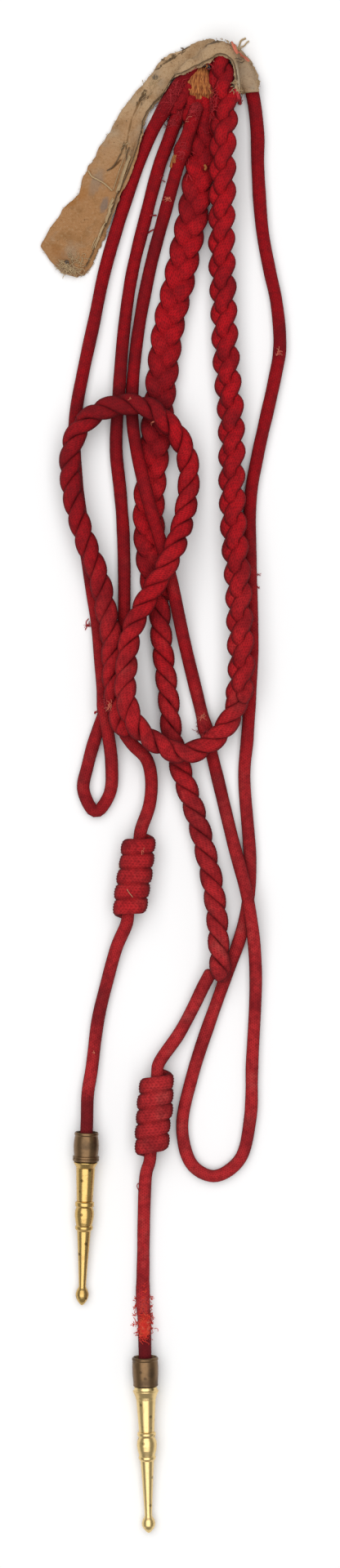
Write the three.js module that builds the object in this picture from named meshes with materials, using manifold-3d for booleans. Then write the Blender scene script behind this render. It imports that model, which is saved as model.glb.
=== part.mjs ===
// Aiguillette: a shoulder ornament of red wool cord, lying flat on a surface.
// Two three-strand plaits run down into two twisted ropes, each rope ends in a plain
// cord with a wound knot and a brass tag, and two plain loops hang beside them. All
// are gathered under a folded linen tab. Millimetres, +Z up, the surface is z = 0,
// the tab is towards +Y, and the origin is the middle of the outline seen from above.
import * as THREE from 'three';
import Module from 'manifold-3d';
import { mergeVertices } from 'three/addons/utils/BufferGeometryUtils.js';

const wasm = await Module();
wasm.setup();

// Driving dimensions
const clearance = 0.35; // between pieces that touch
const cordDiameter = 6.2; // a plain cord, braided wool over a cotton core
const cordSides = 8;

const ropeStrand = { thickness: 4.7, width: 6.0, sides: 5 };
const ropeStrandGap = 1.04; // between the strands, which close up on the inside of a bend
const ropePitch = 22; // one full turn of the twist
const ropeStations = 6; // sections in one turn
const ropeStartAngle = -Math.PI / 2; // at a rope's loose end one strand lies on the other

const plaitStrand = { thickness: 3.4, width: 4.7, sides: 6 };
const plaitRise = 3.9; // a strand's path above and below the middle of the plait
const plaitStations = 6; // sections in one period, where the strands cross and turn
const frontPlaitShape = { width: 14.2, period: 35, roll: 22 };
const backPlaitShape = { width: 15.4, period: 33, roll: 0 };
const plaitToRopeGap = 0.8;

const knot = { turns: 5, windingThickness: 4.8, windingWidth: 7.0, stations: 8, sides: 6 };
const knotSpacing = 0.5; // between the turns of a knot

const socket = { length: 14.4, rimRadius: 6.5, barrelRadius: 6.1, bulgeRadius: 6.35, beadLength: 1.4 };
const socketWall = 1.2;
const spigotDepth = 3.0;
const tagSides = 12;

const coreWidth = 10.4;
const coreHeight = 5.0;

const plyThickness = 1.1;
const plyGap = 0.6;
const tabEdgeShow = 0.9; // share of the band's width that the top ply covers
const buttonhole = { at: [-47.4, 257.0], radius: 1.1, sides: 6 };

// Routes seen from above, x and y, chosen along the middle of each line
const rightLoopRoute = [
  [38.8, 351.5], [43.2, 341.1], [46.0, 321.1], [46.2, 305.1], [48.4, 273.1], [52.0, 253.1],
  [55.4, 237.1], [57.0, 215.1], [54.6, 200.3], [46.0, 161.5], [42.6, 140.3], [43.5, 70.7],
  [42.4, 43.9], [41.0, 22.7], [39.6, 5.5], [42.4, -36.1], [41.6, -54.9], [37.8, -73.3],
  [30.0, -94.9], [14.0, -142.5], [9.2, -168.5], [14.4, -186.1], [25.2, -191.2], [37.2, -183.3],
  [42.4, -163.7], [43.4, -137.3], [45.1, -89.3], [41.6, -57.3], [33.6, -25.3], [25.6, 7.9],
  [17.6, 40.3], [10.2, 70.7], [2.0, 107.9], [-8.8, 144.7], [-15.2, 179.5], [-13.6, 213.1],
  [-7.0, 251.9], [1.6, 284.3], [8.0, 306.7], [13.6, 323.1], [16.0, 331.0],
];
const leftLoopRoute = [
  [9.6, 337.1], [6.8, 328.7], [2.4, 316.3], [-1.8, 305.1], [-8.8, 278.7], [-15.3, 251.9],
  [-19.2, 225.1], [-21.8, 193.1], [-23.2, 165.5], [-21.2, 144.7], [-19.7, 123.9], [-19.2, 93.1],
  [-20.0, 69.1], [-24.0, 47.1], [-31.6, 29.1], [-37.2, 9.9], [-39.2, -2.1], [-33.2, -12.5],
  [-26.4, -3.7], [-25.4, 11.1], [-28.4, 35.1], [-30.4, 56.3], [-32.4, 78.3], [-37.6, 113.1],
  [-41.6, 141.1], [-43.6, 165.1], [-43.0, 182.7], [-39.2, 203.9], [-34.0, 227.9], [-29.0, 251.9],
  [-23.0, 273.1], [-12.4, 305.1], [-5.2, 321.7], [1.6, 333.3], [10.0, 346.3], [14.0, 351.5],
];
const frontRopeRoute = [
  [-19.2, 26.7], [-21.6, 34.1], [-24.0, 45.1], [-24.8, 56.3], [-25.4, 73.5], [-27.6, 83.5],
  [-31.0, 100.3], [-38.2, 120.3], [-43.2, 137.5], [-45.6, 153.5], [-43.8, 169.5], [-39.2, 176.7],
  [-33.6, 181.7], [-25.4, 185.1], [-16.2, 186.3], [-7.6, 184.7], [0.0, 179.1], [6.8, 171.5],
  [11.6, 160.3], [12.4, 147.5], [9.8, 130.3], [3.6, 111.5], [-7.2, 92.7], [-15.6, 75.1],
  [-18.0, 56.3], [-18.4, 45.1], [-16.0, 35.1], [-10.8, 26.5], [-2.0, 20.3], [10.0, 15.9],
  [20.0, 19.5], [28.0, 26.3], [33.6, 34.7],
];
const frontPlaitRoute = [
  [36.8, 44.3], [38.0, 57.1], [37.6, 70.7], [36.2, 102.7], [34.4, 123.9], [33.5, 145.1],
  [33.2, 177.1], [31.0, 203.9], [29.3, 237.1], [28.4, 269.1], [28.8, 295.1], [29.1, 317.1],
  [30.0, 331.9], [28.6, 344.3], [27.2, 355.5],
];
const backRopeRoute = [
  [28.2, -92.9], [27.4, -83.7], [25.6, -58.9], [21.6, -36.1], [15.5, -13.3], [8.6, 7.9],
  [4.6, 22.7], [2.2, 45.1], [-0.4, 67.1], [-1.6, 80.3],
];
const backPlaitRoute = [
  [-2.2, 93.9], [-5.2, 107.1], [-7.2, 129.1], [-6.4, 149.1], [-3.6, 173.1], [-0.6, 201.9],
  [2.4, 224.7], [7.1, 245.5], [11.2, 264.7], [14.8, 283.1], [18.0, 303.1], [19.6, 317.1],
];
const coreRoute = [
  [17.6, 335.5], [18.2, 342.3], [19.4, 348.3], [20.4, 353.1],
];
const leftTail = {
  start: [[-18.7, 25.3], [-14.8, 20.1], [-8.4, 13.5], [-6.0, 4.3], [-6.8, -8.9]],
  knotTop: [-11.6, -25.3],
  knotBottom: [-17.4, -63.3],
  middle: [[-22.8, -78.5], [-27.4, -94.9], [-32.0, -114.1], [-35.2, -138.9]],
  tagTop: [-37.6, -169.3],
  tagTip: [-40.0, -254.7],
  tagLength: 70.2,
  startHeight: 14.0, // the cord comes out of the rope, which lies on other cords here
};
const rightTail = {
  start: [[22.8, -91.8], [19.4, -98.2], [14.6, -108.3], [7.6, -121.3]],
  knotTop: [-3.0, -140.5],
  knotBottom: [-6.4, -179.7],
  middle: [[-8.4, -189.0], [-9.2, -198.9], [-9.9, -230.9], [-10.0, -254.9]],
  tagTop: [-9.0, -279.3],
  tagTip: [-7.2, -366.8],
  tagLength: 72.3,
  startHeight: 8.0,
};

// The linen band, from the flap at its right end to the wide left end
const tabSections = [
  { outer: [46.4, 339.9], inner: [35.6, 338.7] },
  { outer: [46.8, 345.1], inner: [34.8, 343.1] },
  { outer: [45.2, 351.9], inner: [34.4, 347.9] },
  { outer: [41.1, 357.9], inner: [33.2, 352.7] },
  { outer: [34.8, 364.1], inner: [29.6, 355.3] },
  { outer: [28.2, 364.7], inner: [26.0, 355.5] },
  { outer: [21.5, 366.8], inner: [22.7, 352.7] },
  { outer: [13.2, 363.5], inner: [16.4, 350.7] },
  { outer: [6.0, 360.1], inner: [9.6, 347.1] },
  { outer: [0.0, 357.1], inner: [4.8, 345.9] },
  { outer: [-5.2, 350.7], inner: [0.4, 338.7] },
  { outer: [-10.0, 344.3], inner: [-4.8, 333.5] },
  { outer: [-16.4, 336.7], inner: [-9.2, 325.9] },
  { outer: [-22.0, 329.1], inner: [-10.0, 318.7] },
  { outer: [-28.0, 318.7], inner: [-13.2, 307.1] },
  { outer: [-33.6, 309.5], inner: [-17.4, 296.3] },
  { outer: [-38.8, 299.9], inner: [-21.4, 288.3] },
  { outer: [-42.1, 289.9], inner: [-25.0, 278.7] },
  { outer: [-48.4, 284.7], inner: [-27.8, 271.9] },
  { outer: [-55.2, 273.9], inner: [-30.9, 265.1] },
  { outer: [-59.6, 265.3], inner: [-34.0, 257.9] },
  { outer: [-56.0, 258.7], inner: [-37.8, 251.9] },
  { outer: [-50.0, 251.9], inner: [-42.8, 249.9] },
];

const colours = {
  wool: 0xa02028,
  wornWool: 0x9a2a30,
  cotton: 0xc98f4e,
  linen: 0xa8927a,
  darkBrass: 0x5a4632,
  brass: 0xc9a257,
};
const clothFinish = { roughness: 0.9, metalness: 0 };
const brassFinish = { roughness: 0.35, metalness: 1 };

const group = new THREE.Group();

function addMesh(name, geometry, colour, finish) {
  const material = new THREE.MeshStandardMaterial({ color: colour, ...finish });
  const mesh = new THREE.Mesh(geometry, material);
  mesh.name = name;
  group.add(mesh);
  return mesh;
}

// A curve whose sections, with their places and directions, are already worked out
class StationPath extends THREE.Curve {
  constructor(stations) {
    super();
    this.stations = stations;
  }

  getPoint(t, target = new THREE.Vector3()) {
    const index = Math.round(t * (this.stations.length - 1));
    return target.copy(this.stations[index].point);
  }

  getSpacedPoints() {
    return this.stations.map((station) => station.point);
  }

  computeFrenetFrames() {
    return {
      tangents: this.stations.map((station) => station.tangent),
      normals: this.stations.map((station) => station.normal),
      binormals: this.stations.map((station) => station.binormal),
    };
  }
}

// Stations from points and the direction that each section's thickness faces. The two
// end sections are cut square to the line that the piece follows.
function makeStations(points, facings, endTangents) {
  const last = points.length - 1;
  return points.map((point, i) => {
    const before = points[Math.max(i - 1, 0)];
    const after = points[Math.min(i + 1, last)];
    const tangent = after.clone().sub(before).normalize();
    if (endTangents && i === 0) {
      tangent.copy(endTangents[0]);
    }
    if (endTangents && i === last) {
      tangent.copy(endTangents[1]);
    }
    const binormal = new THREE.Vector3().crossVectors(tangent, facings[i]).normalize();
    const normal = new THREE.Vector3().crossVectors(binormal, tangent);
    return { point, tangent, normal, binormal };
  });
}

// An even polygon with its mean radius at half the thickness and a flat facing back
function sectionShape(thickness, width, sides) {
  const flatRadius = thickness / (1 + Math.cos(Math.PI / sides));
  const corners = [];
  for (let k = 0; k < sides; k += 1) {
    const angle = Math.PI + (2 * Math.PI * (k + 0.5)) / sides;
    corners.push(new THREE.Vector2(Math.cos(angle) * flatRadius, Math.sin(angle) * width / 2));
  }
  return new THREE.Shape(corners);
}

function sweep(stations, shape) {
  return new THREE.ExtrudeGeometry(shape, {
    steps: stations.length - 1,
    extrudePath: new StationPath(stations),
    bevelEnabled: false,
  });
}

// Laying: each line rests on the surface or on the lines laid before it
const layStep = 2.5; // between the samples of a line
const rampPasses = 110; // how far a cord takes to come down from what it crosses
const layClearance = 0.55; // clearance between lines, with some for their slopes
const selfApart = 26; // a line minds its own earlier samples only beyond this length
const settleRounds = 4; // a line that crosses itself settles in a few rounds
const jointSamples = 3; // of a tail, beside the end of its rope
const laidSamples = [];

function planSamples(route) {
  const points = route.map(([x, y]) => new THREE.Vector3(x, y, 0));
  const curve = new THREE.CatmullRomCurve3(points, false, 'centripetal');
  curve.arcLengthDivisions = 40 * route.length;
  return curve.getSpacedPoints(Math.round(curve.getLength() / layStep));
}

function planDirections(points) {
  return points.map((point, i) => {
    const before = points[Math.max(i - 1, 0)];
    const after = points[Math.min(i + 1, points.length - 1)];
    return after.clone().sub(before).setZ(0).normalize();
  });
}

// The height that sample a needs to lie over sample b
function heightOver(a, b) {
  const dx = a.point.x - b.point.x;
  const dy = a.point.y - b.point.y;
  const reach = a.halfWidth + b.halfWidth + layClearance;
  if (Math.abs(dx) > reach || Math.abs(dy) > reach) {
    return 0;
  }
  const along = Math.abs(dx * b.direction.x + dy * b.direction.y);
  const turned = Math.abs(a.direction.x * b.direction.y - a.direction.y * b.direction.x);
  const halfStep = 0.6 * layStep; // a little over half, so that no point falls between two samples
  if (along > halfStep + a.halfWidth * turned) {
    return 0;
  }
  const across = Math.hypot(dx, dy) / reach;
  if (across >= 1) {
    return 0;
  }
  const stack = a.halfHeight + b.halfHeight + layClearance;
  return b.point.z + stack * Math.sqrt(1 - across * across);
}

function ramped(needed) {
  let heights = needed.slice();
  for (let pass = 0; pass < rampPasses; pass += 1) {
    heights = heights.map((height, i) => {
      const before = heights[Math.max(i - 1, 0)];
      const after = heights[Math.min(i + 1, heights.length - 1)];
      return Math.max(needed[i], (before + 2 * height + after) / 4);
    });
  }
  return heights;
}

// A line's size at a sample is { halfWidth, halfHeight }, with a floor for its least height
// and joint where it meets another line end to end and carries nothing
function lineSamples(route, sizeAt) {
  const points = planSamples(route);
  const directions = planDirections(points);
  return points.map((point, i) => ({ point, direction: directions[i], ...sizeAt(point, i) }));
}

function settle(samples) {
  const onOthers = samples.map((sample) => {
    const heights = laidSamples.map((other) => heightOver(sample, other));
    return heights.reduce((highest, height) => Math.max(highest, height), sample.floor ?? sample.halfHeight);
  });
  const apart = Math.round(selfApart / layStep);
  for (let round = 0; round < settleRounds; round += 1) {
    const needed = samples.map((sample, i) => {
      const own = samples.slice(0, Math.max(i - apart, 0)).map((other) => heightOver(sample, other));
      return own.reduce((highest, height) => Math.max(highest, height), onOthers[i]);
    });
    ramped(needed).forEach((height, i) => {
      samples[i].point.z = height;
    });
  }
  laidSamples.push(...samples.filter((sample) => !sample.joint));
}

function layLine(route, sizeAt) {
  const samples = lineSamples(route, sizeAt);
  settle(samples);
  return new LaidLine(samples);
}

// A laid line that can be asked for its place and directions at any length
class LaidLine {
  constructor(samples) {
    this.points = samples.map((sample) => sample.point);
    this.lengths = [0];
    for (let i = 1; i < this.points.length; i += 1) {
      this.lengths.push(this.lengths[i - 1] + this.points[i].distanceTo(this.points[i - 1]));
    }
    this.length = this.lengths[this.lengths.length - 1];
    this.tangents = this.points.map((point, i) => {
      const before = this.points[Math.max(i - 1, 0)];
      const after = this.points[Math.min(i + 1, this.points.length - 1)];
      return after.clone().sub(before).normalize();
    });
  }

  at(length) {
    const reached = this.lengths.findIndex((value) => value > length);
    const last = this.points.length - 1;
    const index = reached < 0 ? last - 1 : Math.max(reached - 1, 0);
    const share = (length - this.lengths[index]) / (this.lengths[index + 1] - this.lengths[index]);
    const point = this.points[index].clone().lerp(this.points[index + 1], share);
    const tangent = this.tangents[index].clone().lerp(this.tangents[index + 1], share).normalize();
    const side = new THREE.Vector3(-tangent.y, tangent.x, 0).normalize();
    const up = new THREE.Vector3().crossVectors(tangent, side);
    return { point, tangent, side, up };
  }

  lengthAt([x, y]) {
    const distances = this.points.map((point) => Math.hypot(point.x - x, point.y - y));
    return this.lengths[distances.indexOf(Math.min(...distances))];
  }
}

// Lengths along a line, closer together where it bends
const bendTolerance = 0.3;
const closestStations = 3.5;
const widestStations = 3 * cordDiameter;

function stationLengths(line) {
  const lengths = [0];
  let length = 0;
  while (length < line.length) {
    const here = line.at(length).tangent;
    const ahead = line.at(Math.min(length + 2 * layStep, line.length)).tangent;
    const turn = Math.max(here.angleTo(ahead), 1e-3);
    const bendRadius = (2 * layStep) / turn;
    const step = Math.sqrt(8 * bendTolerance * bendRadius);
    length += Math.min(Math.max(step, closestStations), widestStations);
    lengths.push(Math.min(length, line.length));
  }
  return lengths;
}

// Plain cords
function plainCord(name, line, lengths = stationLengths(line)) {
  const places = lengths.map((length) => line.at(length));
  const stations = makeStations(places.map((place) => place.point), places.map((place) => place.up));
  const shape = sectionShape(cordDiameter * Math.cos(Math.PI / cordSides), cordDiameter, cordSides);
  return addMesh(name, sweep(stations, shape), colours.wool, clothFinish);
}

// Twisted ropes: two strands wound about the line, hand +1 rises to the right
const ropeFlat = ropeStrand.thickness / (1 + 1 / Math.cos(Math.PI / ropeStrand.sides));
const ropeRadius = (ropeFlat + ropeStrandGap / 2) / Math.cos(Math.PI / ropeStations);
const ropeHalf = ropeRadius + ropeFlat / Math.cos(Math.PI / ropeStrand.sides);

function ropeStrandMesh(name, line, from, to, hand, strand) {
  const steps = Math.round(((to - from) / ropePitch) * ropeStations);
  const points = [];
  const facings = [];
  for (let k = 0; k <= steps; k += 1) {
    const place = line.at(from + ((to - from) * k) / steps);
    const angle = ropeStartAngle + hand * (2 * Math.PI * k) / ropeStations + Math.PI * strand;
    const outward = place.side.clone().multiplyScalar(Math.cos(angle));
    outward.addScaledVector(place.up, Math.sin(angle));
    points.push(place.point.clone().addScaledVector(outward, ropeRadius));
    facings.push(outward);
  }
  const shape = sectionShape(ropeStrand.thickness, ropeStrand.width, ropeStrand.sides);
  const stations = makeStations(points, facings, [line.at(from).tangent, line.at(to).tangent]);
  return addMesh(name, sweep(stations, shape), colours.wornWool, clothFinish);
}

// Plaits: each strand swings from side to side once and over and under twice a period
function plaitOffset(plait, angle) {
  const swing = (plait.width - plaitStrand.width) / 2;
  const roll = THREE.MathUtils.degToRad(plait.roll);
  const offset = new THREE.Vector2(swing * Math.sin(angle), plaitRise * Math.sin(2 * angle));
  return offset.rotateAround(new THREE.Vector2(), -roll);
}

// Half the width and height of a whole plait, with its roll
function plaitSize(plait) {
  const roll = THREE.MathUtils.degToRad(plait.roll);
  const offsets = [...Array(36).keys()].map((k) => plaitOffset(plait, (k * Math.PI) / 18));
  const { thickness, width } = plaitStrand;
  const strandAcross = Math.hypot(width * Math.cos(roll), thickness * Math.sin(roll)) / 2;
  const strandUp = Math.hypot(thickness * Math.cos(roll), width * Math.sin(roll)) / 2;
  return {
    halfWidth: Math.max(...offsets.map((offset) => offset.x)) + strandAcross,
    halfHeight: Math.max(...offsets.map((offset) => offset.y)) + strandUp,
  };
}

function plaitStrandMesh(name, line, from, to, plait, strand) {
  const steps = Math.round(((to - from) / plait.period) * plaitStations);
  const roll = THREE.MathUtils.degToRad(plait.roll);
  const points = [];
  const facings = [];
  for (let k = 0; k <= steps; k += 1) {
    const place = line.at(from + ((to - from) * k) / steps);
    const angle = Math.PI * (2 * k / plaitStations + 2 * strand / 3 + 1 / 6);
    const offset = plaitOffset(plait, angle);
    const point = place.point.clone();
    point.addScaledVector(place.side, offset.x);
    point.addScaledVector(place.up, offset.y);
    points.push(point);
    facings.push(place.up.clone().applyAxisAngle(place.tangent, -roll));
  }
  const shape = sectionShape(plaitStrand.thickness, plaitStrand.width, plaitStrand.sides);
  const stations = makeStations(points, facings, [line.at(from).tangent, line.at(to).tangent]);
  return addMesh(name, sweep(stations, shape), colours.wool, clothFinish);
}

// Knots: a cord wound about the tail, turn beside turn
const knotPitch = knot.windingWidth + knotSpacing;
const knotBore = cordDiameter / 2 + clearance;
const knotWindingRadius = (knotBore + knot.windingThickness / 2) / Math.cos(Math.PI / knot.stations);
const knotRadius = knotWindingRadius + knot.windingThickness / 2;

function knotMesh(name, line, middle, hand) {
  const steps = Math.round(knot.turns * knot.stations);
  const woundLength = knot.turns * knotPitch;
  const points = [];
  const facings = [];
  for (let k = 0; k <= steps; k += 1) {
    const place = line.at(middle + woundLength * (k / steps - 0.5));
    const angle = hand * (2 * Math.PI * k) / knot.stations - Math.PI / 2;
    const outward = place.side.clone().multiplyScalar(Math.cos(angle));
    outward.addScaledVector(place.up, Math.sin(angle));
    points.push(place.point.clone().addScaledVector(outward, knotWindingRadius));
    facings.push(outward);
  }
  const shape = sectionShape(knot.windingThickness, knot.windingWidth, knot.sides);
  return addMesh(name, sweep(makeStations(points, facings), shape), colours.wool, clothFinish);
}

// Brass tags. Places along the tag are shares of its length, from the lip to the tip.
const spigotRadius = socket.rimRadius - socketWall - clearance;
const tagProfile = [
  { share: 0, radius: 6.1 },
  { share: 0.01, radius: 6.2 },
  { share: 0.052, radius: 4.7 },
  { share: 0.27, radius: 3.95 },
  { share: 0.282, radius: 4.65 },
  { share: 0.318, radius: 4.7 },
  { share: 0.328, radius: 4.2 },
  { share: 0.38, radius: 4.85 },
  { share: 0.452, radius: 4.05 },
  { share: 0.456, radius: 4.35 },
  { share: 0.48, radius: 4.2 },
  { share: 0.487, radius: 3.35 },
  { share: 0.862, radius: 1.9 },
  { share: 0.925, radius: 3.25 },
  { share: 0.965, radius: 2.3 },
];
const budShare = 0.925;
const budRadius = 3.25;

function latheMesh(name, profile, colour) {
  const points = profile.map(([radius, height]) => new THREE.Vector2(radius, height));
  return addMesh(name, new THREE.LatheGeometry(points, tagSides), colour, brassFinish);
}

// The axis of a tag dips from the socket's lower bead to the bud, both on the surface
const socketGap = 0.8;

function tagFrame(tail) {
  const [topX, topY] = tail.tagTop;
  const [tipX, tipY] = tail.tagTip;
  const heading = Math.atan2(tipY - topY, tipX - topX);
  const beadToBud = socketGap + socket.beadLength / 2 + tail.tagLength * budShare;
  const dip = Math.asin((socket.rimRadius - budRadius) / beadToBud);
  const topToBead = socket.length - socket.beadLength / 2;
  const topHeight = socket.rimRadius / Math.cos(dip) + topToBead * Math.sin(dip);
  const top = new THREE.Vector3(topX, topY, topHeight);
  const along = new THREE.Vector3(Math.cos(heading), Math.sin(heading), -Math.tan(dip)).normalize();
  return { top, along };
}

function placeAlong(mesh, frame, distance) {
  mesh.quaternion.setFromUnitVectors(new THREE.Vector3(0, 1, 0), frame.along);
  mesh.position.copy(frame.top).addScaledVector(frame.along, distance);
}

function socketMesh(name, tail) {
  const bore = socket.rimRadius - socketWall;
  const { length, rimRadius, barrelRadius, bulgeRadius, beadLength } = socket;
  const mesh = latheMesh(name, [
    [bore, 0],
    [rimRadius - 0.3, 0],
    [rimRadius, beadLength / 2],
    [barrelRadius, beadLength],
    [bulgeRadius, length / 2],
    [barrelRadius, length - beadLength],
    [rimRadius, length - beadLength / 2],
    [rimRadius - 0.3, length],
    [bore, length],
    [bore, 0],
  ], colours.darkBrass);
  placeAlong(mesh, tagFrame(tail), 0);
}

function tagMesh(name, tail) {
  const body = tagProfile.map(({ share, radius }) => [radius, socketGap + share * tail.tagLength]);
  const mesh = latheMesh(name, [
    [0, -spigotDepth],
    [spigotRadius, -spigotDepth],
    [spigotRadius, socketGap],
    ...body,
    [0, socketGap + tail.tagLength],
  ], colours.brass);
  placeAlong(mesh, tagFrame(tail), socket.length);
}

// A tail is one cord: out of the rope, through the knot and into the socket
const cordInSocket = socket.length - spigotDepth - clearance;

function tailRoute(tail) {
  const [topX, topY] = tail.knotTop;
  const [bottomX, bottomY] = tail.knotBottom;
  const axis = new THREE.Vector2(bottomX - topX, bottomY - topY).normalize();
  const beyond = 4; // the cord goes straight on past both ends of its knot
  const { top, along } = tagFrame(tail);
  const onAxis = [-3 * cordDiameter, -cordDiameter, 0, cordInSocket].map((distance) => {
    const point = top.clone().addScaledVector(along, distance);
    return [point.x, point.y];
  });
  return [
    ...tail.start,
    [topX - axis.x * beyond, topY - axis.y * beyond],
    tail.knotTop,
    tail.knotBottom,
    [bottomX + axis.x * beyond, bottomY + axis.y * beyond],
    ...tail.middle,
    ...onAxis,
  ];
}

function tailSize(tail) {
  const half = cordDiameter / 2;
  const { top, along } = tagFrame(tail);
  const [knotX, knotY] = [0, 1].map((axis) => (tail.knotTop[axis] + tail.knotBottom[axis]) / 2);
  const knotReach = (knot.turns * knotPitch) / 2 + layStep;
  return (point, i) => {
    const size = { halfWidth: half, halfHeight: half, floor: half, joint: i < jointSamples };
    if (i < jointSamples - 1) {
      size.floor = tail.startHeight;
    }
    if (Math.hypot(point.x - knotX, point.y - knotY) < knotReach) {
      size.floor = knotRadius;
    }
    const inSocket = point.clone().setZ(top.z).sub(top).dot(along);
    if (inSocket > -layStep) {
      size.floor = top.z + along.z * inSocket;
    }
    return size;
  };
}

function buildTail(side, tail, hand) {
  const line = layLine(tailRoute(tail), tailSize(tail));
  const knotMiddle = (line.lengthAt(tail.knotTop) + line.lengthAt(tail.knotBottom)) / 2;
  const straight = (knot.turns * knotPitch) / 2 + 1;
  const lengths = stationLengths(line).filter((length) => Math.abs(length - knotMiddle) > straight);
  lengths.push(knotMiddle - straight, knotMiddle + straight);
  lengths.sort((a, b) => a - b);
  plainCord(`${side}_tail_cord`, line, lengths);
  knotMesh(`${side}_wound_knot`, line, knotMiddle, hand);
  socketMesh(`${side}_tag_socket`, tail);
  tagMesh(`${side}_brass_tag`, tail);
}

// A rope that becomes a plait, laid as one line from the rope's end to the plait's top
function buildRopeAndPlait(side, ropeRoute, plaitRoute, plait, hand) {
  const [joinX, joinY] = plaitRoute[0];
  const ropeSize = { halfWidth: ropeHalf, halfHeight: ropeHalf };
  let reached = false;
  const line = layLine([...ropeRoute, ...plaitRoute], (point) => {
    reached = reached || Math.hypot(point.x - joinX, point.y - joinY) < layStep;
    return reached ? plaitSize(plait) : ropeSize;
  });
  const join = line.lengthAt(plaitRoute[0]);
  for (const strand of [0, 1]) {
    ropeStrandMesh(`${side}_rope_strand_${strand + 1}`, line, 0, join - plaitToRopeGap / 2, hand, strand);
  }
  for (const strand of [0, 1, 2]) {
    const from = join + plaitToRopeGap / 2;
    plaitStrandMesh(`${side}_plait_strand_${strand + 1}`, line, from, line.length, plait, strand);
  }
}

function cordSize() {
  return { halfWidth: cordDiameter / 2, halfHeight: cordDiameter / 2 };
}

function coreMesh(line) {
  const lengths = [0, 0.25, 0.5, 0.75, 1].map((share) => share * line.length);
  const places = lengths.map((length) => line.at(length));
  const stations = makeStations(places.map((place) => place.point), places.map((place) => place.up));
  const section = sectionShape(coreHeight, coreWidth, cordSides);
  addMesh('cotton_core', sweep(stations, section), colours.cotton, clothFinish);
}

// What is laid later lies over what is laid before. The right loop goes down under the
// back rope and comes up over the back plait, so its two sides are laid apart.
const rightLoop = lineSamples(rightLoopRoute, cordSize);
const loopBottom = rightLoop.findIndex(({ direction }) => direction.y > 0);
settle(rightLoop.slice(0, loopBottom));
coreMesh(layLine(coreRoute, () => ({ halfWidth: coreWidth / 2, halfHeight: coreHeight / 2 })));
buildTail('right', rightTail, -1);
buildRopeAndPlait('back', backRopeRoute, backPlaitRoute, backPlaitShape, -1);
settle(rightLoop.slice(loopBottom));
plainCord('right_loop_cord', new LaidLine(rightLoop));
plainCord('left_loop_cord', layLine(leftLoopRoute, cordSize));
buildTail('left', leftTail, 1);
buildRopeAndPlait('front', frontRopeRoute, frontPlaitRoute, frontPlaitShape, 1);

// The linen tab lies on the cord ends like a sheet that is stiff across about one section
const tabColumns = [0, 0.1, 0.4, 0.7, tabEdgeShow, 1];
const tabReach = 3; // how far beside a cord the cloth still rests on it
const tabPasses = 3;

function tabPoint(section, column) {
  const [outerX, outerY] = tabSections[section].outer;
  const [innerX, innerY] = tabSections[section].inner;
  const share = tabColumns[column];
  return [outerX + (innerX - outerX) * share, outerY + (innerY - outerY) * share];
}

function tabHeights() {
  const needed = tabSections.map((_, section) => tabColumns.map((__, column) => {
    const [x, y] = tabPoint(section, column);
    const tops = laidSamples
      .filter(({ point, halfWidth }) => Math.hypot(point.x - x, point.y - y) < halfWidth + tabReach)
      .map(({ point, halfHeight }) => point.z + halfHeight + clearance);
    return Math.max(0, ...tops);
  }));
  let heights = needed;
  for (let pass = 0; pass < tabPasses; pass += 1) {
    heights = heights.map((row, i) => row.map((height, j) => {
      const above = heights[Math.max(i - 1, 0)][j];
      const below = heights[Math.min(i + 1, heights.length - 1)][j];
      return Math.max(needed[i][j], (above + 2 * height + below) / 4);
    }));
  }
  return heights;
}

// A closed sheet over the given columns, its bottom at the heights plus the rise
function tabPlyGeometry(heights, firstColumn, lastColumn, rise) {
  const columns = lastColumn - firstColumn + 1;
  const rows = tabSections.length;
  const positions = [];
  for (const level of [rise, rise + plyThickness]) {
    for (let row = 0; row < rows; row += 1) {
      for (let column = firstColumn; column <= lastColumn; column += 1) {
        const [x, y] = tabPoint(row, column);
        positions.push(x, y, heights[row][column] + level);
      }
    }
  }
  const top = rows * columns;
  const index = [];
  const quad = (a, b, c, d) => index.push(a, b, c, a, c, d);
  for (let row = 0; row < rows - 1; row += 1) {
    for (let column = 0; column < columns - 1; column += 1) {
      const a = row * columns + column;
      const [b, c, d] = [a + columns, a + columns + 1, a + 1];
      index.push(a, c, b, a, d, c);
      index.push(top + a, top + b, top + c, top + a, top + c, top + d);
    }
    const left = row * columns;
    const right = left + columns - 1;
    quad(left, left + columns, top + left + columns, top + left);
    quad(right + columns, right, top + right, top + right + columns);
  }
  for (let column = 0; column < columns - 1; column += 1) {
    const last = (rows - 1) * columns + column;
    quad(column + 1, column, top + column, top + column + 1);
    quad(last, last + 1, top + last + 1, top + last);
  }
  const geometry = new THREE.BufferGeometry();
  geometry.setAttribute('position', new THREE.Float32BufferAttribute(positions, 3));
  geometry.setIndex(index);
  return geometry;
}

function toManifold(geometry) {
  const bare = geometry.clone();
  bare.deleteAttribute('normal');
  bare.deleteAttribute('uv');
  const merged = mergeVertices(bare);
  return new wasm.Manifold(new wasm.Mesh({
    numProp: 3,
    vertProperties: new Float32Array(merged.attributes.position.array),
    triVerts: new Uint32Array(merged.index.array),
  }));
}

function fromManifold(solid) {
  const mesh = solid.getMesh();
  const geometry = new THREE.BufferGeometry();
  geometry.setAttribute('position', new THREE.BufferAttribute(mesh.vertProperties, 3));
  geometry.setIndex(new THREE.BufferAttribute(mesh.triVerts, 1));
  return geometry;
}

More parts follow.
